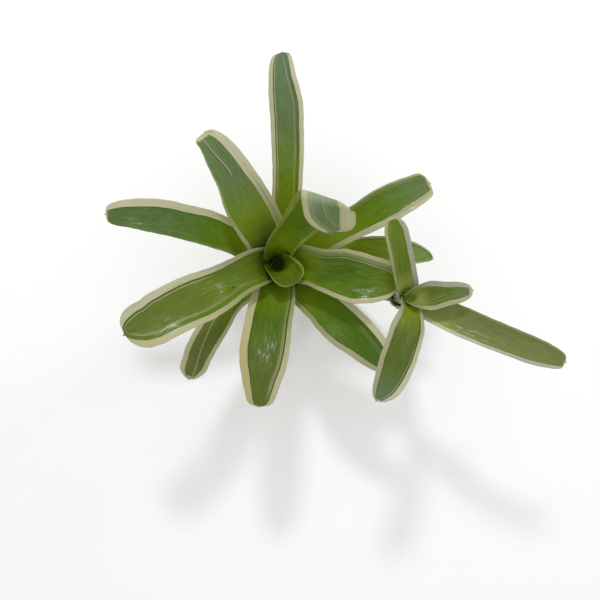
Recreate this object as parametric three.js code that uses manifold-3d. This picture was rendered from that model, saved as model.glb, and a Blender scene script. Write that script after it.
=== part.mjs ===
// A cream-edged neoregelia rosette with one young offset on a stolon, standing on its root crown.
// Millimetres, +Z up. The origin is the middle of the flat foot of the stem.
// Every leaf starts as a sheath rolled on the shoot's bulb, one inside the other, and opens into a blade.
import * as THREE from 'three';
import { mergeVertices } from 'three/addons/utils/BufferGeometryUtils.js';
import Module from 'manifold-3d';

const wasm = await Module();
wasm.setup();

// Driving dimensions
const SHEATH_THICKNESS = 0.6;
const BLADE_THICKNESS = 0.7;
const TIP_HALF_WIDTH = 0.4;
const THROAT_ANGLE = 88;
const SWEEP_POWER = 1.3;
const WIDTH_STATION = 0.35;
const SHEATH_NARROWS_FROM = 0.3;
const WRAP_OPENING = 0.6;
const TILT_FROM = 2;
const TILT_LENGTH = 12;
const SPINE_STEPS = 120;
const LOW_SHEATH_STEPS = 5;
const NECK_STEP = 3;
const THROAT_STEPS = 6;
const FOLD_APPROACH_STEPS = 8;
const FOLD_STEPS = 7;
const TIP_CROWDING = 1.7;

// A shoot is a bulb of nested sheaths: radius of the outermost sheath at its shoulder, how much it draws in
// towards the base, and the step from one sheath to the next in radius, in height of base and of throat.
// The rosette has a neck above its bulb. At each of the neck's heights the leaves are drawn in towards the
// axis by its pull. The pull is whole within the first of its radii and ends at the second, and the neck
// leans a little to one side.
const ROSETTE = {
  centre: new THREE.Vector3(0, 0, 0),
  radius: 22,
  drawIn: 9,
  shoulder: 42,
  pitch: 1.2,
  firstBase: 8,
  baseStep: 1.8,
  firstThroat: 46.4,
  throatStep: 2.3,
  neck: { heights: [46, 60, 76], pulls: [0, 4.8, 1.6], radii: [11, 27], lean: [-0.8, 1.3] },
};
const OFFSET = {
  centre: new THREE.Vector3(72.8, -19.2, 50),
  radius: 6,
  drawIn: 1.2,
  shoulder: 30,
  pitch: 1.05,
  firstBase: 6,
  baseStep: 2,
  firstThroat: 42,
  throatStep: 2,
};

// What a leaf has unless its own entry says otherwise. Angles are in degrees.
const ROSETTE_LEAF = {
  columns: 10,
  tipSteps: 8,
  sheathHalfWidth: 22,
  wrap: 150,
  throatBend: 18,
  droopPower: 1.6,
  curl: 1 / 30,
  curlLength: 30,
  tipCurl: 1 / 22,
  uncurlFrom: 0.5,
  uncurlTo: 1,
  twist: 0,
  twistFrom: 0,
  twistTo: 1,
  shift: 0,
  shiftLength: 30,
};
const OFFSET_LEAF = {
  ...ROSETTE_LEAF,
  columns: 8,
  tipSteps: 7,
  sheathHalfWidth: 11,
  wrap: 125,
  throatBend: 9,
  curl: 1 / 14,
  curlLength: 16,
  tipCurl: 1 / 14,
};

// Leaves from the outermost inwards. Azimuth is the side the leaf leaves on, and sweep is how far it has
// turned by its tip. The half widths are at the throat, a third out and two thirds out. Cap is the length
// that rounds to the tip, and point is 0.35 for a blunt tip and 0.7 for a sharp one. Rise and droop are the
// slopes at the throat and at the tip. Shift is how far the leaf sits off its midline in the sheath.
const ROSETTE_LEAVES = [
  {
    name: 'leaf_01', azimuth: 12, sweep: -26, length: 82, halfWidths: [12, 8.5, 9], cap: 34, point: 0.7,
    rise: 30, droop: -4, columns: 8,
  },
  {
    name: 'leaf_02', azimuth: 220, sweep: 28, length: 75.5, halfWidths: [10, 8.2, 8], cap: 17, point: 0.4,
    rise: 30, droop: -6, columns: 8,
  },
  {
    name: 'leaf_03', azimuth: 82.5, sweep: 15, length: 113, halfWidths: [11, 9.2, 9.2],
    cap: 24, point: 0.35, rise: 32, droop: 2, columns: 8,
  },
  {
    name: 'leaf_04', azimuth: 319, sweep: -5, length: 85, halfWidths: [11, 11.8, 12], cap: 34, point: 0.6,
    rise: 30, droop: -8,
  },
  {
    name: 'leaf_05', azimuth: 150.5, sweep: 34, length: 99, halfWidths: [10, 9.8, 9.8],
    cap: 38, point: 0.42, rise: 36, droop: -6,
  },
  {
    name: 'leaf_06', azimuth: 28.5, sweep: -2.5, length: 96, halfWidths: [13, 9, 10.4],
    cap: 27, point: 0.35, rise: 38, droop: -16,
  },
  {
    name: 'leaf_07', azimuth: 261, sweep: 5, length: 82, halfWidths: [12.5, 13, 14], cap: 36, point: 0.42,
    rise: 42, droop: -5,
  },
  {
    name: 'leaf_08', azimuth: 112.5, sweep: 15, length: 85.5, halfWidths: [15, 13.9, 11.5],
    cap: 38, point: 0.42, rise: 44, droop: -10,
  },
  {
    name: 'leaf_09', azimuth: 350.5, sweep: 2, length: 69, halfWidths: [17.5, 12.9, 16.3],
    cap: 38, point: 0.38, rise: 34, droop: -14, sheathHalfWidth: 20, curl: 1 / 40,
  },
  {
    name: 'leaf_10', azimuth: 202, sweep: 9.5, length: 99.5, halfWidths: [15.5, 12.2, 14.2],
    cap: 23, point: 0.55, rise: 48, droop: -2, sheathHalfWidth: 19, shift: -1,
  },
  {
    name: 'leaf_11_folded', azimuth: 66, sweep: -48, length: 85, halfWidths: [13.5, 11.5, 13.6], cap: 13,
    point: 0.55, rise: 53, droop: 53, sheathHalfWidth: 16, throatBend: 14, tipSteps: 6,
    curl: 1 / 9.5, curlLength: 10, tipCurl: 1 / 150, uncurlFrom: 0.25, uncurlTo: 0.64,
    twist: 28, twistFrom: 0.2, twistTo: 0.66, shift: 4,
    fold: { at: 59, azimuth: -17, radius: 3, angle: 156 },
  },
  {
    name: 'leaf_12_cup', azimuth: 319, sweep: 0, length: 17.5, halfWidths: [18, 16.5, 15.5], cap: 15,
    point: 0.42, rise: 46, droop: 40, throat: 71, sheathHalfWidth: 18, throatBend: 12, tipSteps: 6,
    curl: 1 / 12, tipCurl: 1 / 13, shift: -3, shiftLength: 40,
  },
  {
    name: 'leaf_13_heart', azimuth: 160, sweep: 0, length: 18, halfWidths: [11, 9, 8], cap: 16, point: 0.5,
    rise: 94, droop: 100, throat: 36, sheathHalfWidth: 11, throatBend: 12, columns: 8, tipSteps: 4,
    curl: 1 / 8, tipCurl: 1 / 7,
  },
];
const OFFSET_LEAVES = [
  {
    name: 'offset_leaf_01', azimuth: 333, sweep: 9, length: 89, halfWidths: [7.5, 8.5, 7.8],
    cap: 29, point: 0.4, rise: 28, droop: -14,
  },
  {
    name: 'offset_leaf_02', azimuth: 105, sweep: 1, length: 47, halfWidths: [7.5, 6.6, 6.6],
    cap: 9, point: 0.45, rise: 34, droop: 6, sheathHalfWidth: 9,
  },
  {
    name: 'offset_leaf_03', azimuth: 257.5, sweep: -17.5, length: 62, halfWidths: [6, 10.6, 9.7], cap: 32,
    point: 0.5, rise: 32, droop: -14, sheathHalfWidth: 7.5,
  },
  {
    name: 'offset_leaf_04', azimuth: 6, sweep: 2, length: 36, halfWidths: [9.5, 8.5, 6.4],
    cap: 14, point: 0.4, rise: 38, droop: 6, sheathHalfWidth: 6,
  },
];
// Dry bracts clasp the foot of the offset outside its leaves.
const BRACTS = [
  {
    name: 'offset_bract_upper', azimuth: 184, sweep: 0, length: 9, halfWidths: [7, 5, 4],
    cap: 8, point: 0.6, rise: 70, droop: 60, base: 4.4, throat: 17, inset: -0.95, sheathHalfWidth: 9,
    columns: 6, tipSteps: 3,
    throatBend: 7, curl: 1 / 8, curlLength: 8, tipCurl: 1 / 9,
  },
  {
    name: 'offset_bract_lower', azimuth: 330, sweep: 0, length: 7, halfWidths: [6, 5, 4],
    cap: 6, point: 0.6, rise: 72, droop: 64, base: 2.6, throat: 12, inset: -1.9, sheathHalfWidth: 8,
    columns: 6, tipSteps: 3,
    throatBend: 6, curl: 1 / 8, curlLength: 8, tipCurl: 1 / 9,
  },
];

// Stem, roots and stolon
const STEM_OUTLINE = [
  [0, 0], [7.5, 0], [9, 1.4], [11.6, 3.6], [14.2, 6], [15.3, 8], [13.4, 13.4], [11.2, 18.8], [8.3, 25],
  [6, 29.6], [4, 32.4], [0, 33.6],
];
const STEM_SIDES = 20;
const ROOT_AZIMUTHS = [26, 86, 118, 156, 205, 262, 318];
const ROOT_REACHES = [38, 32, 34, 30, 33, 34, 38];
const ROOT_DISTANCES = [5, 11, 17];
const ROOT_HEIGHT = 3.3;
const ROOT_WANDER = 8;
const ROOT_RADIUS = 1;
const ROOT_SIDES = 6;
const ROOT_STEPS = 7;
const STOLON_ROUTE = [
  [0, 0, 5.5], [15, -4, 4], [33, -8.7, 7.5], [53, -14, 20], [67.5, -17.8, 37], [72.4, -19.1, 49],
  [72.8, -19.2, 52.5],
];
const STOLON_RADIUS = 3.1;
const STOLON_SIDES = 10;
const STOLON_STEPS = 14;
const OFFSET_CORE_OUTLINE = [[0, -1], [3, -1], [4.4, 1.6], [4.4, 5.4], [2.4, 10], [1.5, 12.6], [0, 13.4]];
const OFFSET_CORE_SIDES = 12;

// Materials
const LEAF_GREEN = new THREE.MeshStandardMaterial({ color: 0x5b7a2e, roughness: 0.38, metalness: 0 });
const OFFSET_GREEN = new THREE.MeshStandardMaterial({ color: 0x66803a, roughness: 0.38, metalness: 0 });
const STEM_BROWN = new THREE.MeshStandardMaterial({ color: 0x8a7650, roughness: 0.85, metalness: 0 });
const BRACT_STRAW = new THREE.MeshStandardMaterial({ color: 0x8c8a6c, roughness: 0.8, metalness: 0 });

const radians = THREE.MathUtils.degToRad;
const mix = THREE.MathUtils.lerp;

function smooth(x) {
  return THREE.MathUtils.smoothstep(x, 0, 1);
}

// Radius of the outermost sheath of a shoot at a height above its foot.
function bulbRadius(shoot, height) {
  const below = Math.max(shoot.shoulder - height, 0) / shoot.shoulder;
  return shoot.radius - shoot.drawIn * below * below;
}

// Places the leaf in its shoot: sheath radius, base and throat follow from its turn, counted inwards.
function placeLeaf(shoot, defaults, leaf, turn) {
  return {
    ...defaults,
    inset: turn * shoot.pitch,
    base: shoot.firstBase + turn * shoot.baseStep,
    throat: shoot.firstThroat + turn * shoot.throatStep,
    ...leaf,
  };
}

// The midline of the blade: upright at the throat, it leans out to its rise and then droops towards the tip.
function bladeSpine(shoot, leaf) {
  const radius = bulbRadius(shoot, leaf.throat) - leaf.inset;
  const start = radians(leaf.azimuth);
  const point = new THREE.Vector3(radius * Math.cos(start), radius * Math.sin(start), leaf.throat);
  const spine = [];
  for (let i = 0; i <= SPINE_STEPS; i += 1) {
    const along = (i / SPINE_STEPS) * leaf.length;
    const past = Math.max(along - leaf.throatBend / 2, 0) / (leaf.length - leaf.throatBend / 2);
    const slope = mix(leaf.rise, leaf.droop, past ** leaf.droopPower);
    const elevation = mix(THROAT_ANGLE, slope, smooth(along / leaf.throatBend));
    const heading = leaf.azimuth + leaf.sweep * (i / SPINE_STEPS) ** SWEEP_POWER;
    const direction = new THREE.Vector3(
      Math.cos(radians(elevation)) * Math.cos(radians(heading)),
      Math.cos(radians(elevation)) * Math.sin(radians(heading)),
      Math.sin(radians(elevation)),
    );
    if (i > 0) {
      const step = leaf.length / SPINE_STEPS / 2;
      point.addScaledVector(spine[i - 1].direction, step).addScaledVector(direction, step);
    }
    spine.push({ centre: point.clone(), direction, elevation, heading });
  }
  return spine;
}

// The spine's centre, direction, elevation and heading at a distance from the throat.
function spineAt(spine, leaf, along) {
  const place = THREE.MathUtils.clamp((along / leaf.length) * SPINE_STEPS, 0, SPINE_STEPS);
  const i = Math.min(Math.floor(place), SPINE_STEPS - 1);
  const part = place - i;
  return {
    centre: spine[i].centre.clone().lerp(spine[i + 1].centre, part),
    direction: spine[i].direction.clone().lerp(spine[i + 1].direction, part),
    elevation: mix(spine[i].elevation, spine[i + 1].elevation, part),
    heading: mix(spine[i].heading, spine[i + 1].heading, part),
  };
}

// Half the width of the blade, measured on its surface.
function bladeHalfWidth(leaf, along) {
  const [throat, third, twoThirds] = leaf.halfWidths;
  const station = along / leaf.length / WIDTH_STATION;
  const sides = mix(throat, third, smooth(station)) + (twoThirds - third) * smooth(station - 1);
  const fromTip = Math.min((leaf.length - along) / leaf.cap, 1);
  return Math.max(sides * (1 - (1 - fromTip) ** 2) ** leaf.point, TIP_HALF_WIDTH);
}

function evenRows(from, to, steps) {
  return Array.from({ length: steps }, (_, i) => mix(from, to, i / steps));
}

function rowsCrowdedToTip(from, to, steps) {
  return Array.from({ length: steps + 1 }, (_, i) => to - (to - from) * (1 - i / steps) ** TIP_CROWDING);
}

// Distances from the throat at which the blade has a row of points, close together round a fold.
function bladeRows(leaf) {
  if (!leaf.fold) {
    const bend = leaf.throatBend;
    return [...evenRows(0, bend, THROAT_STEPS), ...rowsCrowdedToTip(bend, leaf.length, leaf.tipSteps)];
  }
  const foldEnd = leaf.fold.at + leaf.fold.radius * radians(leaf.fold.angle);
  return [
    ...evenRows(0, leaf.fold.at, FOLD_APPROACH_STEPS),
    ...evenRows(leaf.fold.at, foldEnd, FOLD_STEPS),
    ...rowsCrowdedToTip(foldEnd, leaf.length, leaf.tipSteps),
  ];
}

// One row across the leaf: an arc through the spine that is as wide and as curled as the leaf is there.
function crossRow(leaf, row) {
  const heading = radians(row.heading);
  const tilt = radians(row.tilt);
  const across = new THREE.Vector3(-Math.sin(heading), Math.cos(heading), 0);
  const inwards = new THREE.Vector3(
    -Math.sin(tilt) * Math.cos(heading),
    -Math.sin(tilt) * Math.sin(heading),
    Math.cos(tilt),
  );
  const twist = radians(row.twist);
  const side = across.clone().multiplyScalar(Math.cos(twist)).addScaledVector(inwards, Math.sin(twist));
  const face = inwards.clone().multiplyScalar(Math.cos(twist)).addScaledVector(across, -Math.sin(twist));
  const points = [];
  for (let j = 0; j <= leaf.columns; j += 1) {
    const turn = (((2 * j) / leaf.columns - 1) * row.halfWidth + row.shift) * row.curl;
    const point = row.centre.clone();
    point.addScaledVector(side, Math.sin(turn) / row.curl);
    point.addScaledVector(face, (1 - Math.cos(turn)) / row.curl);
    points.push(point);
  }
  return points;
}

// Bends the end of a blade over, about a level line, on a small radius.
function foldOver(leaf, spine, grid) {
  const { at, azimuth, radius, angle } = leaf.fold;
  const origin = spineAt(spine, leaf, at);
  const crease = new THREE.Vector3(Math.cos(radians(azimuth)), Math.sin(radians(azimuth)), 0);
  const onward = origin.direction.clone().addScaledVector(crease, -origin.direction.dot(crease)).normalize();
  const up = new THREE.Vector3().crossVectors(crease, onward);
  if (up.z < 0) {
    up.negate();
  }
  const full = radians(angle);
  for (const point of grid.flat()) {
    const offset = point.clone().sub(origin.centre);
    const distance = offset.dot(onward);
    if (distance <= 0) {
      continue;
    }
    const height = offset.dot(up);
    const turned = Math.min(distance / radius, full);
    const beyond = Math.max(distance - radius * full, 0);
    point.copy(origin.centre).addScaledVector(crease, offset.dot(crease));
    point.addScaledVector(onward, (radius - height) * Math.sin(turned) + beyond * Math.cos(turned));
    point.addScaledVector(up, radius - (radius - height) * Math.cos(turned) + beyond * Math.sin(turned));
  }
}

// Draws a point in towards the axis where it is within the neck.
function drawIn(neck, point) {
  const [low, waist, rim] = neck.heights;
  const [before, most, after] = neck.pulls;
  const [near, far] = neck.radii;
  const radius = Math.hypot(point.x, point.y);
  const upTo = smooth((point.z - low) / (waist - low));
  const beyond = smooth((point.z - waist) / (rim - waist));
  const pull = point.z < waist ? mix(before, most, upTo) : mix(most, after, beyond);
  const share = 1 - smooth((radius - near) / (far - near));
  const scale = 1 - (pull * share) / radius;
  point.x = point.x * scale + neck.lean[0] * share * upTo;
  point.y = point.y * scale + neck.lean[1] * share * upTo;
}

// Heights at which a sheath has a row of points, closer together in the neck.
function sheathRows(shoot, leaf) {
  const low = shoot.neck ? Math.min(shoot.neck.heights[0], leaf.throat) : leaf.throat;
  const steps = shoot.neck ? LOW_SHEATH_STEPS : LOW_SHEATH_STEPS + 1;
  const inNeck = Math.ceil((leaf.throat - low) / NECK_STEP);
  return [...evenRows(leaf.base, low, steps), ...evenRows(low, leaf.throat, inNeck)];
}

// The middle surface of a leaf as rows of points, from the base of the sheath to the tip of the blade.
function leafGrid(shoot, leaf) {
  const spine = bladeSpine(shoot, leaf);
  const throatRadius = bulbRadius(shoot, leaf.throat) - leaf.inset;
  const rows = [];
  for (const height of sheathRows(shoot, leaf)) {
    const part = (height - leaf.base) / (leaf.throat - leaf.base);
    const radius = bulbRadius(shoot, height) - leaf.inset;
    const azimuth = radians(leaf.azimuth);
    const narrowing = smooth((part - SHEATH_NARROWS_FROM) / (1 - SHEATH_NARROWS_FROM));
    rows.push({
      centre: new THREE.Vector3(radius * Math.cos(azimuth), radius * Math.sin(azimuth), height),
      heading: leaf.azimuth,
      tilt: 90,
      twist: 0,
      shift: leaf.shift,
      curl: 1 / radius,
      halfWidth: Math.min(
        mix(leaf.sheathHalfWidth, leaf.halfWidths[0], narrowing),
        radians(leaf.wrap) * radius,
      ),
      thickness: SHEATH_THICKNESS,
    });
  }
  for (const along of bladeRows(leaf)) {
    const t = along / leaf.length;
    const { centre, elevation, heading } = spineAt(spine, leaf, along);
    const opening = mix(1 / throatRadius, leaf.curl, smooth(along / leaf.curlLength));
    const uncurled = smooth((t - leaf.uncurlFrom) / (leaf.uncurlTo - leaf.uncurlFrom));
    rows.push({
      centre,
      heading,
      tilt: mix(90, elevation, smooth((along - TILT_FROM) / TILT_LENGTH)),
      twist: leaf.twist * smooth((t - leaf.twistFrom) / (leaf.twistTo - leaf.twistFrom)),
      shift: leaf.shift * (1 - smooth(along / leaf.shiftLength)),
      curl: mix(opening, leaf.tipCurl, uncurled),
      halfWidth: Math.min(
        bladeHalfWidth(leaf, along),
        radians(leaf.wrap) * throatRadius + WRAP_OPENING * along,
      ),
      thickness: BLADE_THICKNESS,
    });
  }
  const grid = rows.map((row) => crossRow(leaf, row));
  if (leaf.fold) {
    foldOver(leaf, spine, grid);
  }
  if (shoot.neck) {
    grid.flat().forEach((point) => drawIn(shoot.neck, point));
  }
  return { grid, thicknesses: rows.map((row) => row.thickness) };
}

// Direction that the upper face looks in, at each point of the grid.
function gridNormals(grid) {
  const last = grid.length - 1;
  const lastColumn = grid[0].length - 1;
  return grid.map((row, i) => row.map((_, j) => {
    const along = grid[Math.min(i + 1, last)][j].clone().sub(grid[Math.max(i - 1, 0)][j]);
    const across = row[Math.min(j + 1, lastColumn)].clone().sub(row[Math.max(j - 1, 0)]);
    return along.cross(across).normalize();
  }));
}

// Thickens the grid to a closed blade whose two faces are split into triangles alike.
function bladeGeometry(grid, thicknesses) {
  const normals = gridNormals(grid);
  const rowLength = grid[0].length;
  const layer = grid.length * rowLength;
  const positions = [];
  for (const side of [0.5, -0.5]) {
    grid.forEach((row, i) => row.forEach((point, j) => {
      const vertex = point.clone().addScaledVector(normals[i][j], side * thicknesses[i]);
      positions.push(vertex.x, vertex.y, vertex.z);
    }));
  }
  const index = [];
  const quad = (a, b, c, d) => index.push(a, b, c, a, c, d);
  for (let i = 0; i < grid.length - 1; i += 1) {
    for (let j = 0; j < rowLength - 1; j += 1) {
      const a = i * rowLength + j;
      const b = a + 1;
      const c = b + rowLength;
      const d = a + rowLength;
      index.push(a, d, c, a, c, b);
      index.push(layer + a, layer + c, layer + d, layer + a, layer + b, layer + c);
    }
    const left = i * rowLength;
    const right = left + rowLength - 1;
    quad(left, layer + left, layer + left + rowLength, left + rowLength);
    quad(right, right + rowLength, layer + right + rowLength, layer + right);
  }
  const end = (grid.length - 1) * rowLength;
  for (let j = 0; j < rowLength - 1; j += 1) {
    quad(j, j + 1, layer + j + 1, layer + j);
    quad(end + j, layer + end + j, layer + end + j + 1, end + j + 1);
  }
  const geometry = new THREE.BufferGeometry();
  geometry.setAttribute('position', new THREE.Float32BufferAttribute(positions, 3));
  geometry.setIndex(index);
  geometry.computeVertexNormals();
  return geometry;
}

function leafMesh(shoot, leaf, material) {
  const { grid, thicknesses } = leafGrid(shoot, leaf);
  const mesh = new THREE.Mesh(bladeGeometry(grid, thicknesses), material.clone());
  mesh.name = leaf.name;
  mesh.position.copy(shoot.centre);
  return mesh;
}

// A round rod along a curve.
function rodGeometry(curve, radius, sides, steps) {
  const section = Array.from({ length: sides }, (_, i) => {
    const turn = (i / sides) * 2 * Math.PI;
    return new THREE.Vector2(radius * Math.cos(turn), radius * Math.sin(turn));
  });
  const options = { steps, extrudePath: curve, bevelEnabled: false };
  return new THREE.ExtrudeGeometry(new THREE.Shape(section), options);
}

// An outline of [radius, height] turned about +Z.
function turnedGeometry(outline, sides) {
  const geometry = new THREE.LatheGeometry(outline.map(([r, z]) => new THREE.Vector2(r, z)), sides);
  geometry.rotateX(Math.PI / 2);
  return geometry;
}

function toSolid(geometry) {
  const bare = geometry.clone();
  bare.deleteAttribute('normal');
  bare.deleteAttribute('uv');
  const merged = mergeVertices(bare, 1e-4);
  const corners = merged.index.array;
  const triVerts = [];
  for (let i = 0; i < corners.length; i += 3) {
    const [a, b, c] = corners.slice(i, i + 3);
    if (a !== b && b !== c && c !== a) {
      triVerts.push(a, b, c);
    }
  }
  const mesh = new wasm.Mesh({
    numProp: 3,
    vertProperties: new Float32Array(merged.attributes.position.array),
    triVerts: new Uint32Array(triVerts),
  });
  return new wasm.Manifold(mesh);
}

function fromSolid(solid) {
  const mesh = solid.getMesh();
  const geometry = new THREE.BufferGeometry();
  geometry.setAttribute('position', new THREE.Float32BufferAttribute(mesh.vertProperties, 3));
  geometry.setIndex(Array.from(mesh.triVerts));
  geometry.computeVertexNormals();
  return geometry;
}

// A wiry root leaves the side of the stem, comes down to the ground and wanders out along it.
function rootGeometry(azimuth, reach, turn) {
  const wander = turn % 2 === 0 ? ROOT_WANDER : -ROOT_WANDER;
  const at = (distance, height, drift) => new THREE.Vector3(
    distance * Math.cos(radians(azimuth + drift)),
    distance * Math.sin(radians(azimuth + drift)),
    height,
  );
  const [start, shoulder, landing] = ROOT_DISTANCES;
  const curve = new THREE.CatmullRomCurve3([
    at(start, ROOT_HEIGHT, 0),
    at(shoulder, ROOT_HEIGHT, 0),
    at(landing, mix(ROOT_RADIUS, ROOT_HEIGHT, 0.2), wander / 2),
    at(mix(landing, reach, 0.55), ROOT_RADIUS, wander),
    at(reach, ROOT_RADIUS, wander / 3),
  ]);
  return rodGeometry(curve, ROOT_RADIUS, ROOT_SIDES, ROOT_STEPS);
}

// Stem, roots, stolon and the offset's own short stem grew as one woody piece.
function stemMesh() {
  let solid = toSolid(turnedGeometry(STEM_OUTLINE, STEM_SIDES));
  ROOT_AZIMUTHS.forEach((azimuth, turn) => {
    solid = solid.add(toSolid(rootGeometry(azimuth, ROOT_REACHES[turn], turn)));
  });
  const route = new THREE.CatmullRomCurve3(STOLON_ROUTE.map((point) => new THREE.Vector3(...point)));
  solid = solid.add(toSolid(rodGeometry(route, STOLON_RADIUS, STOLON_SIDES, STOLON_STEPS)));
  const core = turnedGeometry(OFFSET_CORE_OUTLINE, OFFSET_CORE_SIDES);
  core.translate(OFFSET.centre.x, OFFSET.centre.y, OFFSET.centre.z);
  solid = solid.add(toSolid(core));
  const mesh = new THREE.Mesh(fromSolid(solid), STEM_BROWN);
  mesh.name = 'stem_with_roots_and_stolon';
  return mesh;
}

const group = new THREE.Group();
group.add(stemMesh());
ROSETTE_LEAVES.forEach((leaf, turn) => {
  group.add(leafMesh(ROSETTE, placeLeaf(ROSETTE, ROSETTE_LEAF, leaf, turn), LEAF_GREEN));
});
OFFSET_LEAVES.forEach((leaf, turn) => {
  group.add(leafMesh(OFFSET, placeLeaf(OFFSET, OFFSET_LEAF, leaf, turn), OFFSET_GREEN));
});
BRACTS.forEach((leaf) => {
  group.add(leafMesh(OFFSET, placeLeaf(OFFSET, OFFSET_LEAF, leaf, 0), BRACT_STRAW));
});

export default group;
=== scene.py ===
import math

import bpy
import numpy as np
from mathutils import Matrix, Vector


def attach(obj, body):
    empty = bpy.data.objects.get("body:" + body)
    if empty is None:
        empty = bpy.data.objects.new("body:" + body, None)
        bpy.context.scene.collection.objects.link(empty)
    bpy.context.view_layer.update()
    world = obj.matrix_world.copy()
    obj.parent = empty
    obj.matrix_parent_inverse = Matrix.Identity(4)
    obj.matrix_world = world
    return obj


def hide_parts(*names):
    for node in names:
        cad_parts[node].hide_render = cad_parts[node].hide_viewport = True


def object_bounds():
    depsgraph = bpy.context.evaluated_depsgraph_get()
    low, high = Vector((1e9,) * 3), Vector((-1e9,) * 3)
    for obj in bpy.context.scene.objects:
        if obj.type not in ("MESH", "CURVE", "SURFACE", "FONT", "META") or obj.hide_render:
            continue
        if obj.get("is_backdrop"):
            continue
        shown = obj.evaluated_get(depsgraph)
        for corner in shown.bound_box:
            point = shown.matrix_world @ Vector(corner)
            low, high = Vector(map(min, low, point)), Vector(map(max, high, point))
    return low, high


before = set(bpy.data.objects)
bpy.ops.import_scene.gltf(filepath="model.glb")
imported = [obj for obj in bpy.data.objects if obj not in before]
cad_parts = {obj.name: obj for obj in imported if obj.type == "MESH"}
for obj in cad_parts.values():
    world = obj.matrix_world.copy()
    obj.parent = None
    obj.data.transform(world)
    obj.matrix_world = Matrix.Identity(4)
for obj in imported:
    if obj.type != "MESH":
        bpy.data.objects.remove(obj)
cad_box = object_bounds()

MM = 0.001

# Camera and light
CAMERA_PLACE = (12.8, -20.5, 495)
CAMERA_HALF_VIEW = (174, 420)
LIGHT_TARGET = (20, 0, 80)
# Each soft light: azimuth and elevation it stands at, distance, width and height, power and colour.
LIGHTS = {
    "ceiling": (0, 90, 1500, (2400, 2400), 5, (1, 0.99, 0.98)),
    "window": (96, 47, 1100, (150, 110), 4.2, (0.97, 0.99, 1)),
    "side_window": (32.0, 20.0, 1100.0, (150.0, 110.0), 1.8, (0.97, 0.99, 1.0)),
}
ROOM_COLOUR = (1, 1, 1)
ROOM_STRENGTH = 0.66
FLOOR_HALF_SIZE = 3000
FLOOR_COLOUR = (0.99, 0.985, 0.98)
FLOOR_GRAIN = 60
FLOOR_SHADE = 0.985

# How finely a leaf is made
SPINE_STEPS = 480
COLUMNS = 30
COLUMN_CROWDING = 0.3
SHEATH_ROWS = 14
THROAT_ROWS = 14
FOLD_ROWS = 26
BLADE_ROWS = 64
MUCRO_ROWS = 5
TIP_CROWDING = 1.7

# Leaf form, as in the part's source
SHEATH_THICKNESS = 0.6
BLADE_THICKNESS = 0.7
THROAT_ANGLE = 88
SWEEP_POWER = 1.3
WIDTH_STATION = 0.35
SHEATH_NARROWS_FROM = 0.3
WRAP_OPENING = 0.6
TILT_FROM = 2
TILT_LENGTH = 12
# The neck: how far the leaves are drawn in towards the axis at each height.
NECK_HEIGHTS = (46, 60, 76)
NECK_PULLS = (0, 4.8, 1.6)
NECK_RADII = (11, 27)
NECK_LEAN = (-0.8, 1.3)

# Fine form that the source leaves out: thin edges, a mucro or small spine at the tip, and uneven, wavy sides
EDGE_THINNING = 0.5
EDGE_THINNING_POWER = 8
MUCRO_LENGTH = 0.7
MUCRO_HALF_WIDTH = 0.42
MUCRO_POINT = 0.1
WOBBLE = 0.12
WOBBLE_LENGTHS = (9, 23)
WOBBLE_PACE = 0.85
WOBBLE_PACE_SPREAD = 0.3 / 6.3
WOBBLE_FROM = 12
WOBBLE_RISE = 15
WOBBLE_FALL = 14
WAVE = 0.13
WAVE_LENGTHS = (13, 31)
WAVE_FROM = 15
WAVE_RISE = 20
WAVE_POWER = 3
LEVEL_TRIM = ((0, 0),)
TRIM_FADE = 8

# A shoot is a bulb of nested sheaths, as in the part's source.
ROSETTE = {
    "centre": (0, 0, 0), "radius": 22, "draw_in": 9, "shoulder": 42, "pitch": 1.2, "first_base": 8,
    "base_step": 1.8, "first_throat": 46.4, "throat_step": 2.3,
}
OFFSET = {
    "centre": (72.8, -19.2, 50), "radius": 6, "draw_in": 1.2, "shoulder": 30, "pitch": 1.05,
    "first_base": 6, "base_step": 2, "first_throat": 42, "throat_step": 2,
}

# What a leaf has unless its own entry says otherwise. Angles are in degrees.
ROSETTE_LEAF = {
    "sheath_half_width": 22, "wrap": 150, "throat_bend": 18, "droop_power": 1.6, "curl": 1 / 30,
    "curl_length": 30, "tip_curl": 1 / 22, "uncurl": (0.5, 1), "twist": 0, "twist_over": (0, 1), "shift": 0,
    "shift_length": 30, "fold": None, "mucro": MUCRO_LENGTH,
}
OFFSET_LEAF = {
    **ROSETTE_LEAF, "sheath_half_width": 11, "wrap": 125, "throat_bend": 9, "curl": 1 / 14,
    "curl_length": 16, "tip_curl": 1 / 14,
}
BRACT = {**OFFSET_LEAF, "curl": 1 / 8, "curl_length": 8, "tip_curl": 1 / 9}


def form(azimuth, sweep, length, half_widths, cap, point, rise, droop, **rest):
    return {
        "azimuth": azimuth, "sweep": sweep, "length": length, "half_widths": half_widths,
        "cap": cap, "point": point, "rise": rise, "droop": droop, **rest,
    }


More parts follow.
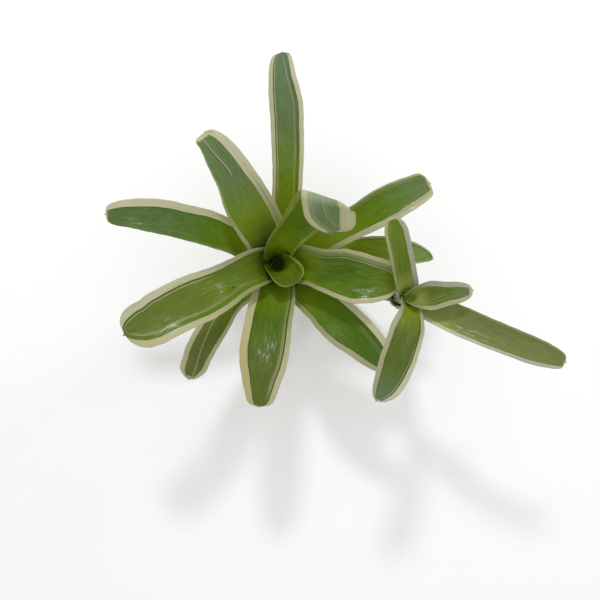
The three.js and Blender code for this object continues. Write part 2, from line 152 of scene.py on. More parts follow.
# Leaves from the outermost inwards, with the source's measures. Leaves 01, 02, 08 and 11, the longer mucros
# and the slopes and insets of the bracts depart from it a little, to come closer to the photograph.
ROSETTE_LEAVES = {
    "leaf_01": form(12, -27, 81.4, (12, 8.5, 9.4), 32, 0.5, 30, -4),
    "leaf_02": form(220, 33, 76.8, (10, 8.2, 8), 17, 0.4, 30, -6),
    "leaf_03": form(82.5, 15, 113, (11, 9.2, 9.2), 24, 0.35, 32, 2),
    "leaf_04": form(319, -5, 85, (11, 11.8, 12), 34, 0.6, 30, -8),
    "leaf_05": form(150.5, 34, 99, (10, 9.8, 9.8), 38, 0.42, 36, -6),
    "leaf_06": form(28.5, -2.5, 96, (13, 9, 10.4), 27, 0.35, 38, -16),
    "leaf_07": form(261, 5, 82, (12.5, 13, 14), 36, 0.42, 42, -5),
    "leaf_08": form(112.5, 15, 85.6, (15, 13.9, 11.5), 38, 0.42, 44, -10),
    "leaf_09": form(350.5, 2, 69, (17.5, 12.9, 16.3), 38, 0.38, 34, -14, sheath_half_width=20, curl=1 / 40),
    "leaf_10": form(
        202, 9.5, 99.5, (15.5, 12.2, 14.2), 23, 0.55, 48, -2, sheath_half_width=19, shift=-1, mucro=1,
    ),
    "leaf_11_folded": form(
        66, -48, 85, (13.5, 11.5, 13.6), 13, 0.55, 53, 53, sheath_half_width=16, shift=4, throat_bend=14,
        curl=1 / 9.5, curl_length=10, tip_curl=1 / 150, uncurl=(0.25, 0.64), twist=28,
        twist_over=(0.2, 0.66), fold={"at": 58.2, "azimuth": -17, "radius": 3, "angle": 156}, mucro=2,
    ),
    "leaf_12_cup": form(
        319, 0, 17.5, (18, 16.5, 15.5), 15, 0.42, 46, 40, throat=71, sheath_half_width=18, shift=-3,
        shift_length=40, throat_bend=12, curl=1 / 12, tip_curl=1 / 13, mucro=1,
    ),
    "leaf_13_heart": form(
        160, 0, 18, (11, 9, 8), 16, 0.5, 94, 100, throat=36, sheath_half_width=11, throat_bend=12,
        curl=1 / 8, tip_curl=1 / 7,
    ),
}
OFFSET_LEAVES = {
    "offset_leaf_01": form(333, 9, 89, (7.5, 8.5, 7.8), 29, 0.4, 28, -14),
    "offset_leaf_02": form(105, 1, 47, (7.5, 6.6, 6.6), 9, 0.45, 34, 6, sheath_half_width=9),
    "offset_leaf_03": form(257.5, -17.5, 62, (6, 10.6, 9.7), 32, 0.5, 32, -14, sheath_half_width=7.5),
    "offset_leaf_04": form(6, 2, 36, (9.5, 8.5, 6.4), 14, 0.4, 38, 6, sheath_half_width=6),
}
BRACTS = {
    "offset_bract_upper": form(
        184, 0, 9, (7, 5, 4), 8, 0.6, 72, 58, base=4.4, throat=17, inset=-0.6, sheath_half_width=9,
        throat_bend=7,
    ),
    "offset_bract_lower": form(
        330, 0, 7, (6, 5, 4), 6, 0.6, 86, 84, base=2.6, throat=12, inset=-1.3, sheath_half_width=8,
        throat_bend=6,
    ),
}

# How far the grown edges depart from the form's even ones, in millimetres: distance from the throat and
# change in half width, for the clockwise side and for the other side.
TRIMS = {
    "leaf_01": (((38, 0), (52, -1.3), (68, -1.9), (77, -1.6), (80.6, -0.6), (81, 0)), ((0, 0),)),
    "leaf_02": (
        ((34, 0), (45, 1.2), (56, 0.8), (66, 0.3), (72, 1.2), (75, 0)),
        (
            (0, -2.5), (16, -3.6), (22, -3.8), (28, -3.2), (33, -2), (38, -0.8), (45, 0), (62, 0.3),
            (69, 1.2), (75, 0),
        ),
    ),
    "leaf_03": (
        ((84, 0), (92, -1.2), (98, -2.1), (104, -2), (109, -0.9), (111.2, 0), (112, 0.2), (112.3, 0)),
        (
            (20, -1.2), (45, -0.8), (60, 0), (80, 0.6), (100, 0.9), (109.5, 1.1), (111.2, 1.1), (112, 0.5),
            (112.3, 0),
        ),
    ),
    "leaf_04": (((28, 0), (34, 1.4), (42, 2), (50, 1.4), (58, 0)), ((0, 0),)),
    "leaf_05": (
        (
            (20, 0.8), (29, 1), (35, 1.5), (42, 1.5), (55, 0.3), (85, 0.3), (92, 0.8), (95.5, 1.3),
            (97.2, 1.4), (98, 0.7), (98.3, 0),
        ),
        (
            (14, -2), (25, -2), (33, -1.1), (45, -0.3), (55, 0), (85, 0), (92, 0.6), (95.5, 1), (97.2, 1.1),
            (98, 0.5), (98.3, 0),
        ),
    ),
    "leaf_06": (
        ((84, 0), (91, 0.8), (94, 1.6), (95.2, 0)),
        ((30, 0), (38, -0.8), (52, -0.8), (62, 0), (84, 0), (92, 1.2), (95, 0)),
    ),
    "leaf_07": (
        (
            (20, 0), (28, 0.6), (36, 0.6), (50, 0.4), (60, 0), (67, -0.9), (74, -0.9), (78, 0.3),
            (80.2, 0.8), (81.2, 0),
        ),
        (
            (4, 2), (12, 2), (17, 1.6), (23, 0.8), (35, 0.6), (50, 0.6), (60, 0.6), (67, -0.2), (74, 0.1),
            (78, 1.2), (79.8, 1.3), (80.8, 0.8), (81.3, 0),
        ),
    ),
    "leaf_08": (
        ((20, -0.8), (40, -0.5), (60, 0)),
        (
            (18, 0), (30, 1), (40, 1.7), (47, 1.3), (55, 0), (75, 0), (78.5, 0.5), (81, 1.9), (83, 3.1),
            (84.2, 3), (84.8, 1.6), (84.9, 0),
        ),
    ),
    "leaf_09": (
        (
            (10, -4.2), (17, -4), (20, -3), (22.6, -2), (28, -0.9), (36, 0), (44, 0.9), (55, 1), (63, 0.8),
            (68, 0),
        ),
        ((36, 0), (42, -1.1), (47, -1.6), (53, -1.5), (58, -0.8), (62, 0)),
    ),
    "leaf_10": (
        (
            (30, 0), (40, -0.5), (60, -0.8), (75, -1.4), (84, -1.3), (88, 0.2), (92, 1.6), (95, 2.2),
            (97.6, 2.6), (98.4, 0),
        ),
        (
            (6, -1.5), (12, -2.2), (18, -2.8), (24, -3), (30, -1.5), (36, 0.4), (42, 1.4), (48, 1.9),
            (56, 2.1), (66, 1.2), (77, 1), (83, 2), (90, 2.9), (95, 2.2), (97.6, 1.6), (98.4, 0),
        ),
    ),
    "leaf_11_folded": (
        ((62, 0), (68, 0.8), (75, 2.4), (78, 4), (80, 5.6), (81.3, 6.2), (82.2, 5.6), (82.8, 3.4), (83, 0)),
        (
            (10, -0.3), (23, -1.1), (30, -1.3), (36, -1.8), (42, -2.2), (50, -2.7), (56, -2.9), (66, -2.3),
            (73, -2.5), (78, -2.7), (81, -2.4), (83, 0),
        ),
    ),
    "offset_leaf_01": (
        ((78, 0), (84, 0.4), (86.8, 0.8), (87.8, 0.7), (88.3, 0)),
        ((78, 0), (84, 0.3), (86.8, 0.6), (87.8, 0.5), (88.3, 0)),
    ),
    "offset_leaf_03": (
        ((6, -2.6), (14, -2.6), (20, -2.2), (26, -1.6), (32, -0.8), (38, 0)),
        ((30, 0.5), (40, 1.6), (48, 2.2), (55, 2.2), (60, 1.2), (61.2, 0)),
    ),
}
# Small bulges: centre, radius of the bulge and how far it is pushed.
BULGES = {
    "leaf_11_folded": (((39.5, 18.5, 114), 8, (0.8, -3.6, 0)), ((37, 30, 120), 7, (0.3, 1.5, 0))),
    "leaf_12_cup": (((13, -4, 84), 9, (2.2, 0.2, 0)),),
}

# Colours of the leaves, as shares of the light that they give back
TONES = {
    "sunlit": (0.235, 0.345, 0.012),
    "pale": (0.2, 0.285, 0.01),
    "lime": (0.148, 0.218, 0.008),
    "leaf": (0.11, 0.166, 0.012),
    "vivid": (0.09, 0.168, 0.004),
    "deep": (0.068, 0.13, 0.004),
    "moss": (0.086, 0.12, 0.016),
    "olive": (0.106, 0.148, 0.018),
    "dusk": (0.077, 0.133, 0.03),
    # Milky and frosted greens: the pale bloom of scales on the tips, and painted sheen.
    "milky sheen": (0.108, 0.16, 0.052),
    "frosted sheen": (0.118, 0.168, 0.085),
    "khaki": (0.15, 0.182, 0.05),
    "minty": (0.148, 0.245, 0.065),
    "drab": (0.128, 0.165, 0.034),
    "straw": (0.33, 0.385, 0.09),
    "ivory": (0.49, 0.475, 0.31),
    "warm ivory": (0.505, 0.475, 0.26),
    "pale cream": (0.56, 0.545, 0.34),
    "cream": (0.42, 0.405, 0.235),
    "beige": (0.4, 0.35, 0.165),
    "rosy": (0.37, 0.35, 0.265),
    "grey cream": (0.34, 0.34, 0.2),
    "fresh cream": (0.31, 0.335, 0.145),
    "green cream": (0.24, 0.26, 0.095),
    "yellow green": (0.22, 0.275, 0.028),
}

# How each leaf is marked. Greens are those at the base, one third up, two thirds up and at the tip.
# A margin is given by its widths in millimetres at the throat, in the middle and at the tip, and by its
# tones at the base and at the tip. Stripes run beside its inner border: from, to, kind, strength, and the
# part of the leaf's length over which they show. They are counted inwards from the border, and are negative
# inside the margin. A midline and a scar go from a place, along the leaf and across it, to another. A spot
# has its place, radius and strength. Tone span is where the margin's tone changes, heart is how much painted
# shade darkens the sheath, glow is how much painted glow the sheath gives off in place of daylight through
# it, rim is the margin's width round the tip, and gloss is how brightly the leaf shines.


def look(
    greens, ccw, cw, ccw_tones, cw_tones, ccw_stripes=(), cw_stripes=(), midline=None, spots=(), scar=None,
    brown_tip=0, tone_span=(0.1, 0.75), heart=0.9, glow=0.12, rim=1.6, gloss=1,
):
    return dict(locals())


LOOKS = {
    "leaf_01": look(
        ("sunlit", "sunlit", "pale", "minty"), ccw=(1.2, 1.3, 1.4), cw=(1.4, 1.4, 1.4),
        ccw_tones=("yellow green", "cream"), cw_tones=("green cream", "grey cream"),
        ccw_stripes=((0.3, 0.7, "dark", 0.7, 0.3, 1),), rim=0.9,
    ),
    "leaf_02": look(
        ("pale", "lime", "drab", "drab"), ccw=(2, 2, 2.8), cw=(2.4, 2.6, 3.2), ccw_tones=("ivory", "ivory"),
        cw_tones=("pale cream", "warm ivory"), midline=(40, -2.6, 75, 2.6, 0.95), rim=2.4,
    ),
    "leaf_03": look(
        ("pale", "lime", "milky sheen", "frosted sheen"), ccw=(2, 2.2, 2.6), cw=(2.2, 2.4, 2.8),
        ccw_tones=("ivory", "cream"), cw_tones=("pale cream", "ivory"),
        ccw_stripes=((0, 0.55, "dark", 0.65, 0.3, 0.93), (0.6, 1.25, "pale", 0.5, 0.3, 0.95)),
        cw_stripes=((0.1, 1.6, "dark", 0.25, 0.2, 0.95), (2.2, 3.1, "pale", 0.2, 0.25, 0.97)),
        spots=((72, 8.7, 0.5, 0.7), (77, -8.6, 0.4, 0.6), (111, -7, 0.7, 0.8)), rim=0.6,
    ),
    "leaf_04": look(
        ("lime", "vivid", "deep", "dusk"), ccw=(3.4, 3.6, 4), cw=(2.7, 2.9, 4),
        ccw_tones=("pale cream", "pale cream"), cw_tones=("green cream", "grey cream"),
        ccw_stripes=((2.6, 3.4, "pale", 0.16, 0.6, 0.9), (4.2, 4.7, "pale", 0.14, 0.6, 0.9)),
        cw_stripes=((0, 0.7, "dark", 0.5, 0.1, 0.9),), gloss=0.3,
    ),
    "leaf_05": look(
        ("pale", "vivid", "dusk", "dusk"), ccw=(1.6, 0.8, 0.5), cw=(3, 4.2, 4.6),
        ccw_tones=("green cream", "dusk"), cw_tones=("warm ivory", "ivory"),
        ccw_stripes=((0.4, 1, "pale", 0.25, 0.2, 0.45),), cw_stripes=((0, 0.5, "dark", 0.5, 0.3, 0.9),),
        rim=1.9,
    ),
    "leaf_06": look(
        ("pale", "lime", "vivid", "milky sheen"), ccw=(1, 1, 1.4), cw=(3, 3.3, 4),
        ccw_tones=("fresh cream", "fresh cream"), cw_tones=("fresh cream", "cream"),
        ccw_stripes=(
            (0.1, 0.5, "dark", 0.7, 0.3, 0.95), (0.5, 0.9, "pale", 0.6, 0.3, 0.95),
            (1.1, 1.5, "pale", 0.35, 0.55, 0.9),
        ),
        cw_stripes=(
            (-1.3, -0.9, "dark", 0.55, 0.72, 0.97), (-0.6, -0.3, "dark", 0.45, 0.7, 0.95),
            (-2, -1.7, "dark", 0.35, 0.76, 0.95),
        ),
        rim=2.3,
    ),
    "leaf_07": look(
        ("lime", "deep", "moss", "moss"), ccw=(1.8, 2.6, 4.4), cw=(4.2, 4.3, 5),
        ccw_tones=("green cream", "cream"), cw_tones=("warm ivory", "beige"),
        ccw_stripes=(
            (0.05, 1, "dark", 0.5, 0, 0.88), (1.1, 1.5, "pale", 0.8, 0.05, 0.92),
            (1.9, 2.3, "pale", 0.7, 0.05, 0.92), (2.7, 3, "pale", 0.3, 0.1, 0.85),
        ),
        cw_stripes=((0, 0.7, "dark", 0.35, 0.3, 0.9),), rim=1,
    ),
    "leaf_08": look(
        ("moss", "lime", "milky sheen", "milky sheen"), ccw=(3.6, 1.3, 0.3), cw=(5, 5.2, 6.6),
        ccw_tones=("fresh cream", "green cream"), cw_tones=("fresh cream", "ivory"),
        cw_stripes=((-2.7, -2, "dark", 0.4, 0.1, 0.62), (-1.4, -1.1, "dark", 0.25, 0.1, 0.5)),
        spots=((59, -9, 0.35, 0.7), (81.8, -10.2, 0.6, 0.55)), scar=(60, 1.4, 80, 5.2), rim=3.4,
    ),
    "leaf_09": look(
        ("pale", "vivid", "deep", "leaf"), ccw=(1.5, 1.8, 2.6), cw=(2.4, 2.7, 3.4),
        ccw_tones=("green cream", "cream"), cw_tones=("green cream", "cream"),
        ccw_stripes=(
            (0.15, 0.45, "pale", 0.8, 0, 1), (0.75, 1.05, "pale", 0.75, 0, 1),
            (1.35, 1.65, "pale", 0.7, 0, 1), (1.95, 2.2, "pale", 0.6, 0, 1),
            (2.35, 2.75, "dark", 0.6, 0, 1), (2.85, 3.35, "pale", 0.7, 0, 1),
            (6, 6.3, "pale", 0.12, 0.2, 0.9), (7.2, 7.5, "pale", 0.1, 0.2, 0.9),
        ),
    ),
    "leaf_10": look(
        ("leaf", "leaf", "olive", "olive"), ccw=(1.9, 3, 5), cw=(2, 3.4, 4.6),
        ccw_tones=("green cream", "cream"), cw_tones=("grey cream", "ivory"),
        ccw_stripes=(
            (0.2, 2.6, "bright", 0.2, 0.1, 0.85), (2.9, 3.3, "pale", 0.7, 0.1, 0.97),
            (3.8, 4.15, "pale", 0.5, 0.25, 0.97),
        ),
        cw_stripes=((0, 0.8, "dark", 0.35, 0.2, 0.95), (1.3, 1.8, "pale", 0.6, 0.45, 0.97)),
        spots=((32, 3.4, 1.05, 0.85), (29, -10.5, 0.3, 0.5)), brown_tip=1, rim=0,
    ),
    "leaf_11_folded": look(
        ("pale", "vivid", "lime", "lime"), ccw=(2.8, 3, 3.4), cw=(2.2, 2.6, 10),
        ccw_tones=("yellow green", "cream"), cw_tones=("yellow green", "cream"),
        ccw_stripes=(
            (0.6, 0.9, "pale", 0.8, 0.7, 1), (1.7, 1.95, "pale", 0.7, 0.7, 1),
            (7.5, 7.8, "pale", 0.7, 0.72, 1), (9, 9.2, "pale", 0.6, 0.72, 1),
        ),
        cw_stripes=(
            (0, 0.5, "dark", 0.6, 0.1, 0.6), (0.6, 1.1, "pale", 0.5, 0.1, 0.6),
            (-3, -2.6, "dark", 0.35, 0.74, 1), (-1.1, -0.7, "dark", 0.5, 0.72, 1),
        ),
        tone_span=(0.55, 0.72), brown_tip=0.8, rim=1.3,
    ),
    "leaf_12_cup": look(
        # The cup's clockwise margin starts deep green: painted shade over the cream, where it lies in shadow.
        ("pale", "lime", "deep", "moss"), ccw=(3.2, 3.4, 3.4), cw=(0.8, 1, 1.6),
        ccw_tones=("yellow green", "yellow green"), cw_tones=("deep", "yellow green"),
        ccw_stripes=((0.3, 0.7, "dark", 0.5, 0, 1), (8, 8.4, "pale", 0.4, 0.3, 1)), brown_tip=0.8,
        spots=((10.9, 12.6, 0.55, 0.75), (12.6, 13.4, 0.4, 0.6)), rim=0,
    ),
    "leaf_13_heart": look(
        ("lime", "leaf", "leaf", "leaf"), ccw=(0.5, 0.5, 0.6), cw=(0.5, 0.5, 0.6),
        ccw_tones=("yellow green", "yellow green"), cw_tones=("yellow green", "yellow green"), rim=0,
    ),
    "offset_leaf_01": look(
        ("straw", "khaki", "khaki", "khaki"), ccw=(0.9, 1, 1.2), cw=(2, 1.7, 2.2),
        ccw_tones=("green cream", "green cream"), cw_tones=("ivory", "rosy"),
        cw_stripes=((0, 0.6, "dark", 0.35, 0.4, 0.75),), heart=0, glow=0.75,
    ),
    "offset_leaf_02": look(
        ("straw", "leaf", "leaf", "leaf"), ccw=(1.6, 1.6, 1.8), cw=(2.6, 2.6, 2.6),
        ccw_tones=("green cream", "fresh cream"), cw_tones=("rosy", "rosy"),
        ccw_stripes=((0, 0.4, "dark", 0.5, 0.2, 0.9), (0.5, 0.9, "pale", 0.4, 0.3, 0.95)), heart=0,
        glow=0.75,
    ),
    "offset_leaf_03": look(
        ("pale", "moss", "moss", "frosted sheen"), ccw=(1.9, 2.2, 3.4), cw=(3.2, 3, 2.8),
        ccw_tones=("grey cream", "ivory"), cw_tones=("rosy", "grey cream"),
        ccw_stripes=((0, 0.7, "dark", 0.75, 0.2, 0.9), (0.8, 1.3, "pale", 0.4, 0.45, 0.95)), heart=0,
        glow=0.75, gloss=0.45,
    ),
    "offset_leaf_04": look(
        ("straw", "olive", "olive", "frosted sheen"), ccw=(3, 3.1, 3.2), cw=(2.4, 2.6, 2.8),
        ccw_tones=("yellow green", "rosy"), cw_tones=("green cream", "grey cream"),
        cw_stripes=((1.6, 2.2, "pale", 0.2, 0.2, 0.8), (3.4, 4.2, "pale", 0.18, 0.1, 0.6)),
        tone_span=(0.05, 0.45), heart=0, glow=0.75, rim=2.4,
    ),
}

# Marks of the leaves. Widths are in millimetres, and the ends of stripes in shares of the leaf's length.
BORDER_SOFTNESS = 0.1
STRIPE_SOFTNESS = 0.09
STRIPE_ENDS = 0.07
DARK_STRIPE = (0.038, 0.075, 0.008)
BRIGHT_STRIPE = (0.075, 0.18, 0.008)
BROWN = (0.085, 0.04, 0.018)
SPOT = (0.02, 0.03, 0.008)
SPOT_CORE = 0.45
MIDLINE_HALF_WIDTHS = (0.15, 0.5)
MIDLINE_FADE = 12
SCAR_FADE = 2
SCAR_LINE = (0.2, 0.5, 0.85, 0)
SCAR_SHADE = (0.2, 0.8, 0.75, 0)
SCAR_SHADE_OFFSET = 0.7
BROWN_TIP_SPAN = (0.976, 0.996)
BROAD_WANDER = 0.22
FINE_WANDER = 0.14
RIM_WANDER = 3
RIM_FADE = (0.8, 1.2)
NARROWING_FROM = 0.9
NARROWEST_MARGIN = 0.1

# Noises over a leaf: scale along it and across it per millimetre, offset from the leaf's seed, and detail
LEAF_NOISES = {
    "fine": (0.05, 2.4, 0, 3),
    "broad": (0.03, 0.5, 5, 2),
    "patch": (0.1, 0.22, 9, 2),
    "hair": (0.02, 7, 3, 2),
    "streak": (0.16, 0.7, 13, 2),
    "ripple": (1.1, 1.3, 7, 2),
}
SEED_SPREAD = 40
# A span is from and to, in the value that it follows, and where given what that becomes at either end.
GREEN_PLACES = (0.08, 0.36, 0.66, 0.94)
GREEN_CONTRASTS = {"fine": 0.18, "broad": 0.26, "patch": 0.24}
CREAM_HAIRLINES = (0.52, 0.72, 0, 0.22)
CREAM_PATCHES = (0.55, 0.78, 0, 0.3)
EDGE_BROWN = (0.36, 0.28, 0.16)
EDGE_LINE = (0.05, 0.3, 0.15, 0)
EDGE_SPAN = (8, 22)
# Painted shade: the sheaths darken towards the heart of the rosette.
HEART = (0.02, 0.042, 0.002)
HEART_SPAN = (-16, 9)
# Painted glow: faint emission from the inner side of the sheaths near the throat.
GLOW = (0.05, 0.085, 0.01)
GLOW_SPAN = (-6, 5)
UNDER_GREEN = (0.098, 0.16, 0.042)
UNDER_BLOOM = (0.23, 0.285, 0.16)
UNDER_HAZE = (0.33, 0.38, 0.27)
UNDER_STRIPES = 0.8
BLOOM_HAIRLINES = (0.44, 0.66)
BLOOM_PATCHES = (0.8, 0.3)
HAZE = (0.7, 0.84, 0.55, 0)
SHEATH = (0.36, 0.36, 0.16)
SHEATH_STRAW = (-34, -4, 0.75, 0)
# Gloss and relief: the shader's numbers where a leaf is dull and where it shines, and heights in millimetres
LEAF_SPECULAR = (0.05, 0.36)
LEAF_ROUGHNESS = (0.36, 0.22)
STREAKS = (0.42, 0.62)
RIPPLE_GLOSS = (1.2, 0.2)
LEAF_RELIEF = {"patch": 1.2, "ripple": 0.07, "fine": 0.1}
RELIEF_STRENGTH = 0.6
RELIEF_SPAN = (2, 24)

# Dry bracts
DRY_NOISES = {"streak": (0.12, 2.2, 4, 3)}
DRY_STREAKS = (0.35, 0.65)
DRY_DARK = (0.28, 0.285, 0.18)
DRY_LIGHT = (0.42, 0.42, 0.31)
DRY_TIP = (0.85, 1, 0, 0.8)
DRY_TIP_BROWN = (0.06, 0.035, 0.015)
DRY_ROUGHNESS = (0.2, 0.7)
DRY_SPECULAR = 0.15
DRY_RELIEF = 0.1

# Stem, roots, stolon and the offset's core. Outlines and routes are the source's, but the core is wider.
STEM_OUTLINE = (
    (0, 0), (7.5, 0), (9, 1.4), (11.6, 3.6), (14.2, 6), (15.3, 8), (13.4, 13.4), (11.2, 18.8), (8.3, 25),
    (6, 29.6), (4, 32.4), (0, 33.6),
)
ROOT_AZIMUTHS = (26, 86, 118, 156, 205, 262, 318)
ROOT_REACHES = (38, 32, 34, 30, 33, 34, 38)
ROOT_DISTANCES = (5, 11, 17)
ROOT_HEIGHT = 3.3
ROOT_WANDER = 8
ROOT_RADIUS = 1
STOLON_ROUTE = (
    (0, 0, 5.5), (15, -4, 4), (33, -8.7, 7.5), (53, -14, 20), (67.5, -17.8, 37), (72.4, -19.1, 49),
    (72.8, -19.2, 52.5),
)
STOLON_RADIUS = 3.1
OFFSET_CORE_OUTLINE = ((0, -1), (3, -1), (5, 1.6), (5.1, 5), (2.6, 10), (1.5, 12.6), (0, 13.4))
# Finer than the source: how finely each is made, the roots' taper and swellings, and the rootlets on them.
OUTLINE_STEPS = 4
STEM_SIDES = 48
STOLON_SIDES = 28
STOLON_POINTS = 150
TUBE_SIDE = (0.3, 0.2, 0.93)
ROOT_SIDES = 14
ROOT_POINTS = 60
ROOT_TAPER = 0.25
ROOT_SWELLING = 0.08
ROOT_SWELLINGS = 47
ROOT_END = 0.6
ROOTLET_COUNT = 7
ROOTLET_RADIUS = 0.28
ROOTLET_TAPER = 0.45
ROOTLET_LENGTHS = (3.5, 7.5)
ROOTLET_LEAN = (35, 70)
ROOTLET_STRETCH = (0.4, 0.93)
ROOTLET_TIP_DRIFT = 2
ROOTLET_BEND = 1.4
ROOTLET_ARCH = 0.2
ROOTLET_POINTS = 12
ROOTLET_SIDES = 6
# Takes a point's height away and leaves its place.
LEVEL = (1, 1, 0)

# Woody surfaces. A kind tells the material which part a point belongs to.
STEM_KIND = -1
ROOT_KIND = 0
STOLON_KIND = 1
WOOD_NOISES = {"fibre": (0.12, 3, 1, 4), "blotch": (0.2, 0.4, 8, 3), "rings": (1.1, 0.5, 5, 3)}
ROOT_DARK = (0.045, 0.028, 0.016)
ROOT_LIGHT = (0.2, 0.135, 0.075)
ROOT_RING = (0.03, 0.019, 0.011)
ROOT_RINGS = (0.48, 0.62, 0, 0.6)
STOLON_GREEN = (0.14, 0.16, 0.06)
STOLON_TAN = (0.33, 0.3, 0.15)
STOLON_FIBRE = (0.12, 0.08, 0.04)
STOLON_FIBRES = 0.5
# Painted shade and painted glow on the top of the stem, deep in the rosette's cup.
STEM_TOP_SPAN = (22, 28)
STEM_TOP_GLOW = 0.09
WOOD_ROUGHNESS = (0.25, 0.6)
RING_RELIEF = (0.0008, 0.7)
FIBRE_RELIEF = (0.0006, 0.8)


def mix(a, b, share):
    return a + (b - a) * share


def smooth(x):
    x = np.clip(x, 0, 1)
    return x * x * (3 - 2 * x)


def unit(v):
    return v / np.maximum(np.linalg.norm(v, axis=-1, keepdims=True), 1e-12)


def cosine_turn(azimuth):
    return np.array([math.cos(math.radians(azimuth)), math.sin(math.radians(azimuth)), 0.0])


def seeded(name, count):
    """Random numbers from 0 to 1 that belong to a piece's name."""
    seed = sum((i + 1) * ord(c) for i, c in enumerate(name))
    return np.random.default_rng(seed).random(count)


def bulb_radius(shoot, height):
    below = np.maximum(shoot["shoulder"] - height, 0) / shoot["shoulder"]
    return shoot["radius"] - shoot["draw_in"] * below**2


def place_leaf(shoot, defaults, leaf, turn):
    return {
        **defaults,
        "inset": turn * shoot["pitch"],
        "base": shoot["first_base"] + turn * shoot["base_step"],
        "throat": shoot["first_throat"] + turn * shoot["throat_step"],
        **leaf,
    }


def typical_half_width(leaf):
    """Half the width that a leaf has along most of its length."""
    return (leaf["half_widths"][1] + leaf["half_widths"][2]) / 2


def blade_spine(shoot, leaf):
    """The midline of the blade: distance from the throat, point, direction, slope and heading."""
    radius = bulb_radius(shoot, leaf["throat"]) - leaf["inset"]
    part = np.linspace(0, 1, SPINE_STEPS + 1)
    along = part * leaf["length"]
    bend = leaf["throat_bend"]
    past = np.maximum(along - bend / 2, 0) / (leaf["length"] - bend / 2)
    slope = mix(leaf["rise"], leaf["droop"], past ** leaf["droop_power"])
    slope = mix(THROAT_ANGLE, slope, smooth(along / bend))
    heading = leaf["azimuth"] + leaf["sweep"] * part**SWEEP_POWER
    rise, turn = np.radians(slope), np.radians(heading)
    direction = np.stack([np.cos(rise) * np.cos(turn), np.cos(rise) * np.sin(turn), np.sin(rise)], 1)
    steps = (direction[1:] + direction[:-1]) * (leaf["length"] / SPINE_STEPS / 2)
    start = radius * cosine_turn(leaf["azimuth"]) + (0, 0, leaf["throat"])
    point = start + np.vstack([np.zeros(3), np.cumsum(steps, 0)])
    return {"along": along, "point": point, "direction": direction, "slope": slope, "heading": heading}


def spine_at(spine, along, what):
    values = spine[what]
    if values.ndim == 1:
        return np.interp(along, spine["along"], values)
    return np.stack([np.interp(along, spine["along"], values[:, k]) for k in range(3)], -1)


def wobble(name, along, lengths, side):
    """A slow irregular swing between about -1 and 1 along one edge of a leaf."""
    phases = seeded(name + side, 4) * 2 * np.pi
    swings = [
        np.sin(2 * np.pi * along / length * (WOBBLE_PACE + WOBBLE_PACE_SPREAD * pace) + phase)
        for length, pace, phase in zip(lengths, phases[:2], phases[2:])
    ]
    return sum(swings) / len(swings)


def blade_half_width(leaf, along):
    throat, third, two_thirds = leaf["half_widths"]
    station = along / leaf["length"] / WIDTH_STATION
    sides = mix(throat, third, smooth(station)) + (two_thirds - third) * smooth(station - 1)
    from_tip = np.clip((leaf["length"] - leaf["mucro"] - along) / leaf["cap"], 0, 1)
    blade = sides * (1 - (1 - from_tip) ** 2) ** leaf["point"]
    on_mucro = np.clip((along - leaf["length"] + leaf["mucro"]) / leaf["mucro"], 0, 1)
    return np.maximum(blade, mix(MUCRO_HALF_WIDTH, MUCRO_POINT, on_mucro))


def crowded_to_tip(start, end, steps):
    return end - (end - start) * (1 - np.linspace(0, 1, steps + 1)) ** TIP_CROWDING


def blade_rows(leaf):
    """How far from the throat each row of points lies."""
    tip = leaf["length"] - leaf["mucro"]
    mucro = np.linspace(tip, leaf["length"], MUCRO_ROWS + 1)[1:]
    if not leaf["fold"]:
        bend = min(leaf["throat_bend"], tip / 2)
        to_bend = np.linspace(0, bend, THROAT_ROWS, endpoint=False)
        return np.concatenate([to_bend, crowded_to_tip(bend, tip, BLADE_ROWS), mucro])
    fold_end = leaf["fold"]["at"] + leaf["fold"]["radius"] * math.radians(leaf["fold"]["angle"])
    return np.concatenate([
        np.linspace(0, leaf["fold"]["at"], BLADE_ROWS, endpoint=False),
        np.linspace(leaf["fold"]["at"], fold_end, FOLD_ROWS, endpoint=False),
        crowded_to_tip(fold_end, tip, BLADE_ROWS // 2),
        mucro,
    ])


def sheath_section(shoot, leaf):
    part = np.arange(SHEATH_ROWS) / SHEATH_ROWS
    height = mix(leaf["base"], leaf["throat"], part)
    radius = bulb_radius(shoot, height) - leaf["inset"]
    narrowing = smooth((part - SHEATH_NARROWS_FROM) / (1 - SHEATH_NARROWS_FROM))
    half_width = mix(leaf["sheath_half_width"], leaf["half_widths"][0], narrowing)
    same = np.ones(SHEATH_ROWS)
    return {
        "centre": radius[:, None] * cosine_turn(leaf["azimuth"]) + height[:, None] * np.array([0, 0, 1.0]),
        "heading": leaf["azimuth"] * same,
        "tilt": 90.0 * same,
        "twist": 0.0 * same,
        "shift": leaf["shift"] * same,
        "curl": 1 / radius,
        "half_width": np.minimum(half_width, math.radians(leaf["wrap"]) * radius),
        "thickness": SHEATH_THICKNESS * same,
        "along": height - leaf["throat"],
    }


def blade_section(leaf, spine, throat_radius):
    along = blade_rows(leaf)
    t = along / leaf["length"]
    opening = mix(1 / throat_radius, leaf["curl"], smooth(along / leaf["curl_length"]))
    start, end = leaf["uncurl"]
    uncurled = smooth((t - start) / (end - start))
    twist_start, twist_end = leaf["twist_over"]
    widest = math.radians(leaf["wrap"]) * throat_radius + WRAP_OPENING * along
    return {
        "centre": spine_at(spine, along, "point"),
        "heading": spine_at(spine, along, "heading"),
        "tilt": mix(90.0, spine_at(spine, along, "slope"), smooth((along - TILT_FROM) / TILT_LENGTH)),
        "twist": leaf["twist"] * smooth((t - twist_start) / (twist_end - twist_start)),
        "shift": leaf["shift"] * (1 - smooth(along / leaf["shift_length"])),
        "curl": mix(opening, leaf["tip_curl"], uncurled),
        "half_width": np.minimum(blade_half_width(leaf, along), widest),
        "thickness": BLADE_THICKNESS * np.ones(len(along)),
        "along": along,
    }


def column_places():
    place = np.linspace(-1, 1, COLUMNS + 1)
    return place * (1 + COLUMN_CROWDING * (1 - place**2))


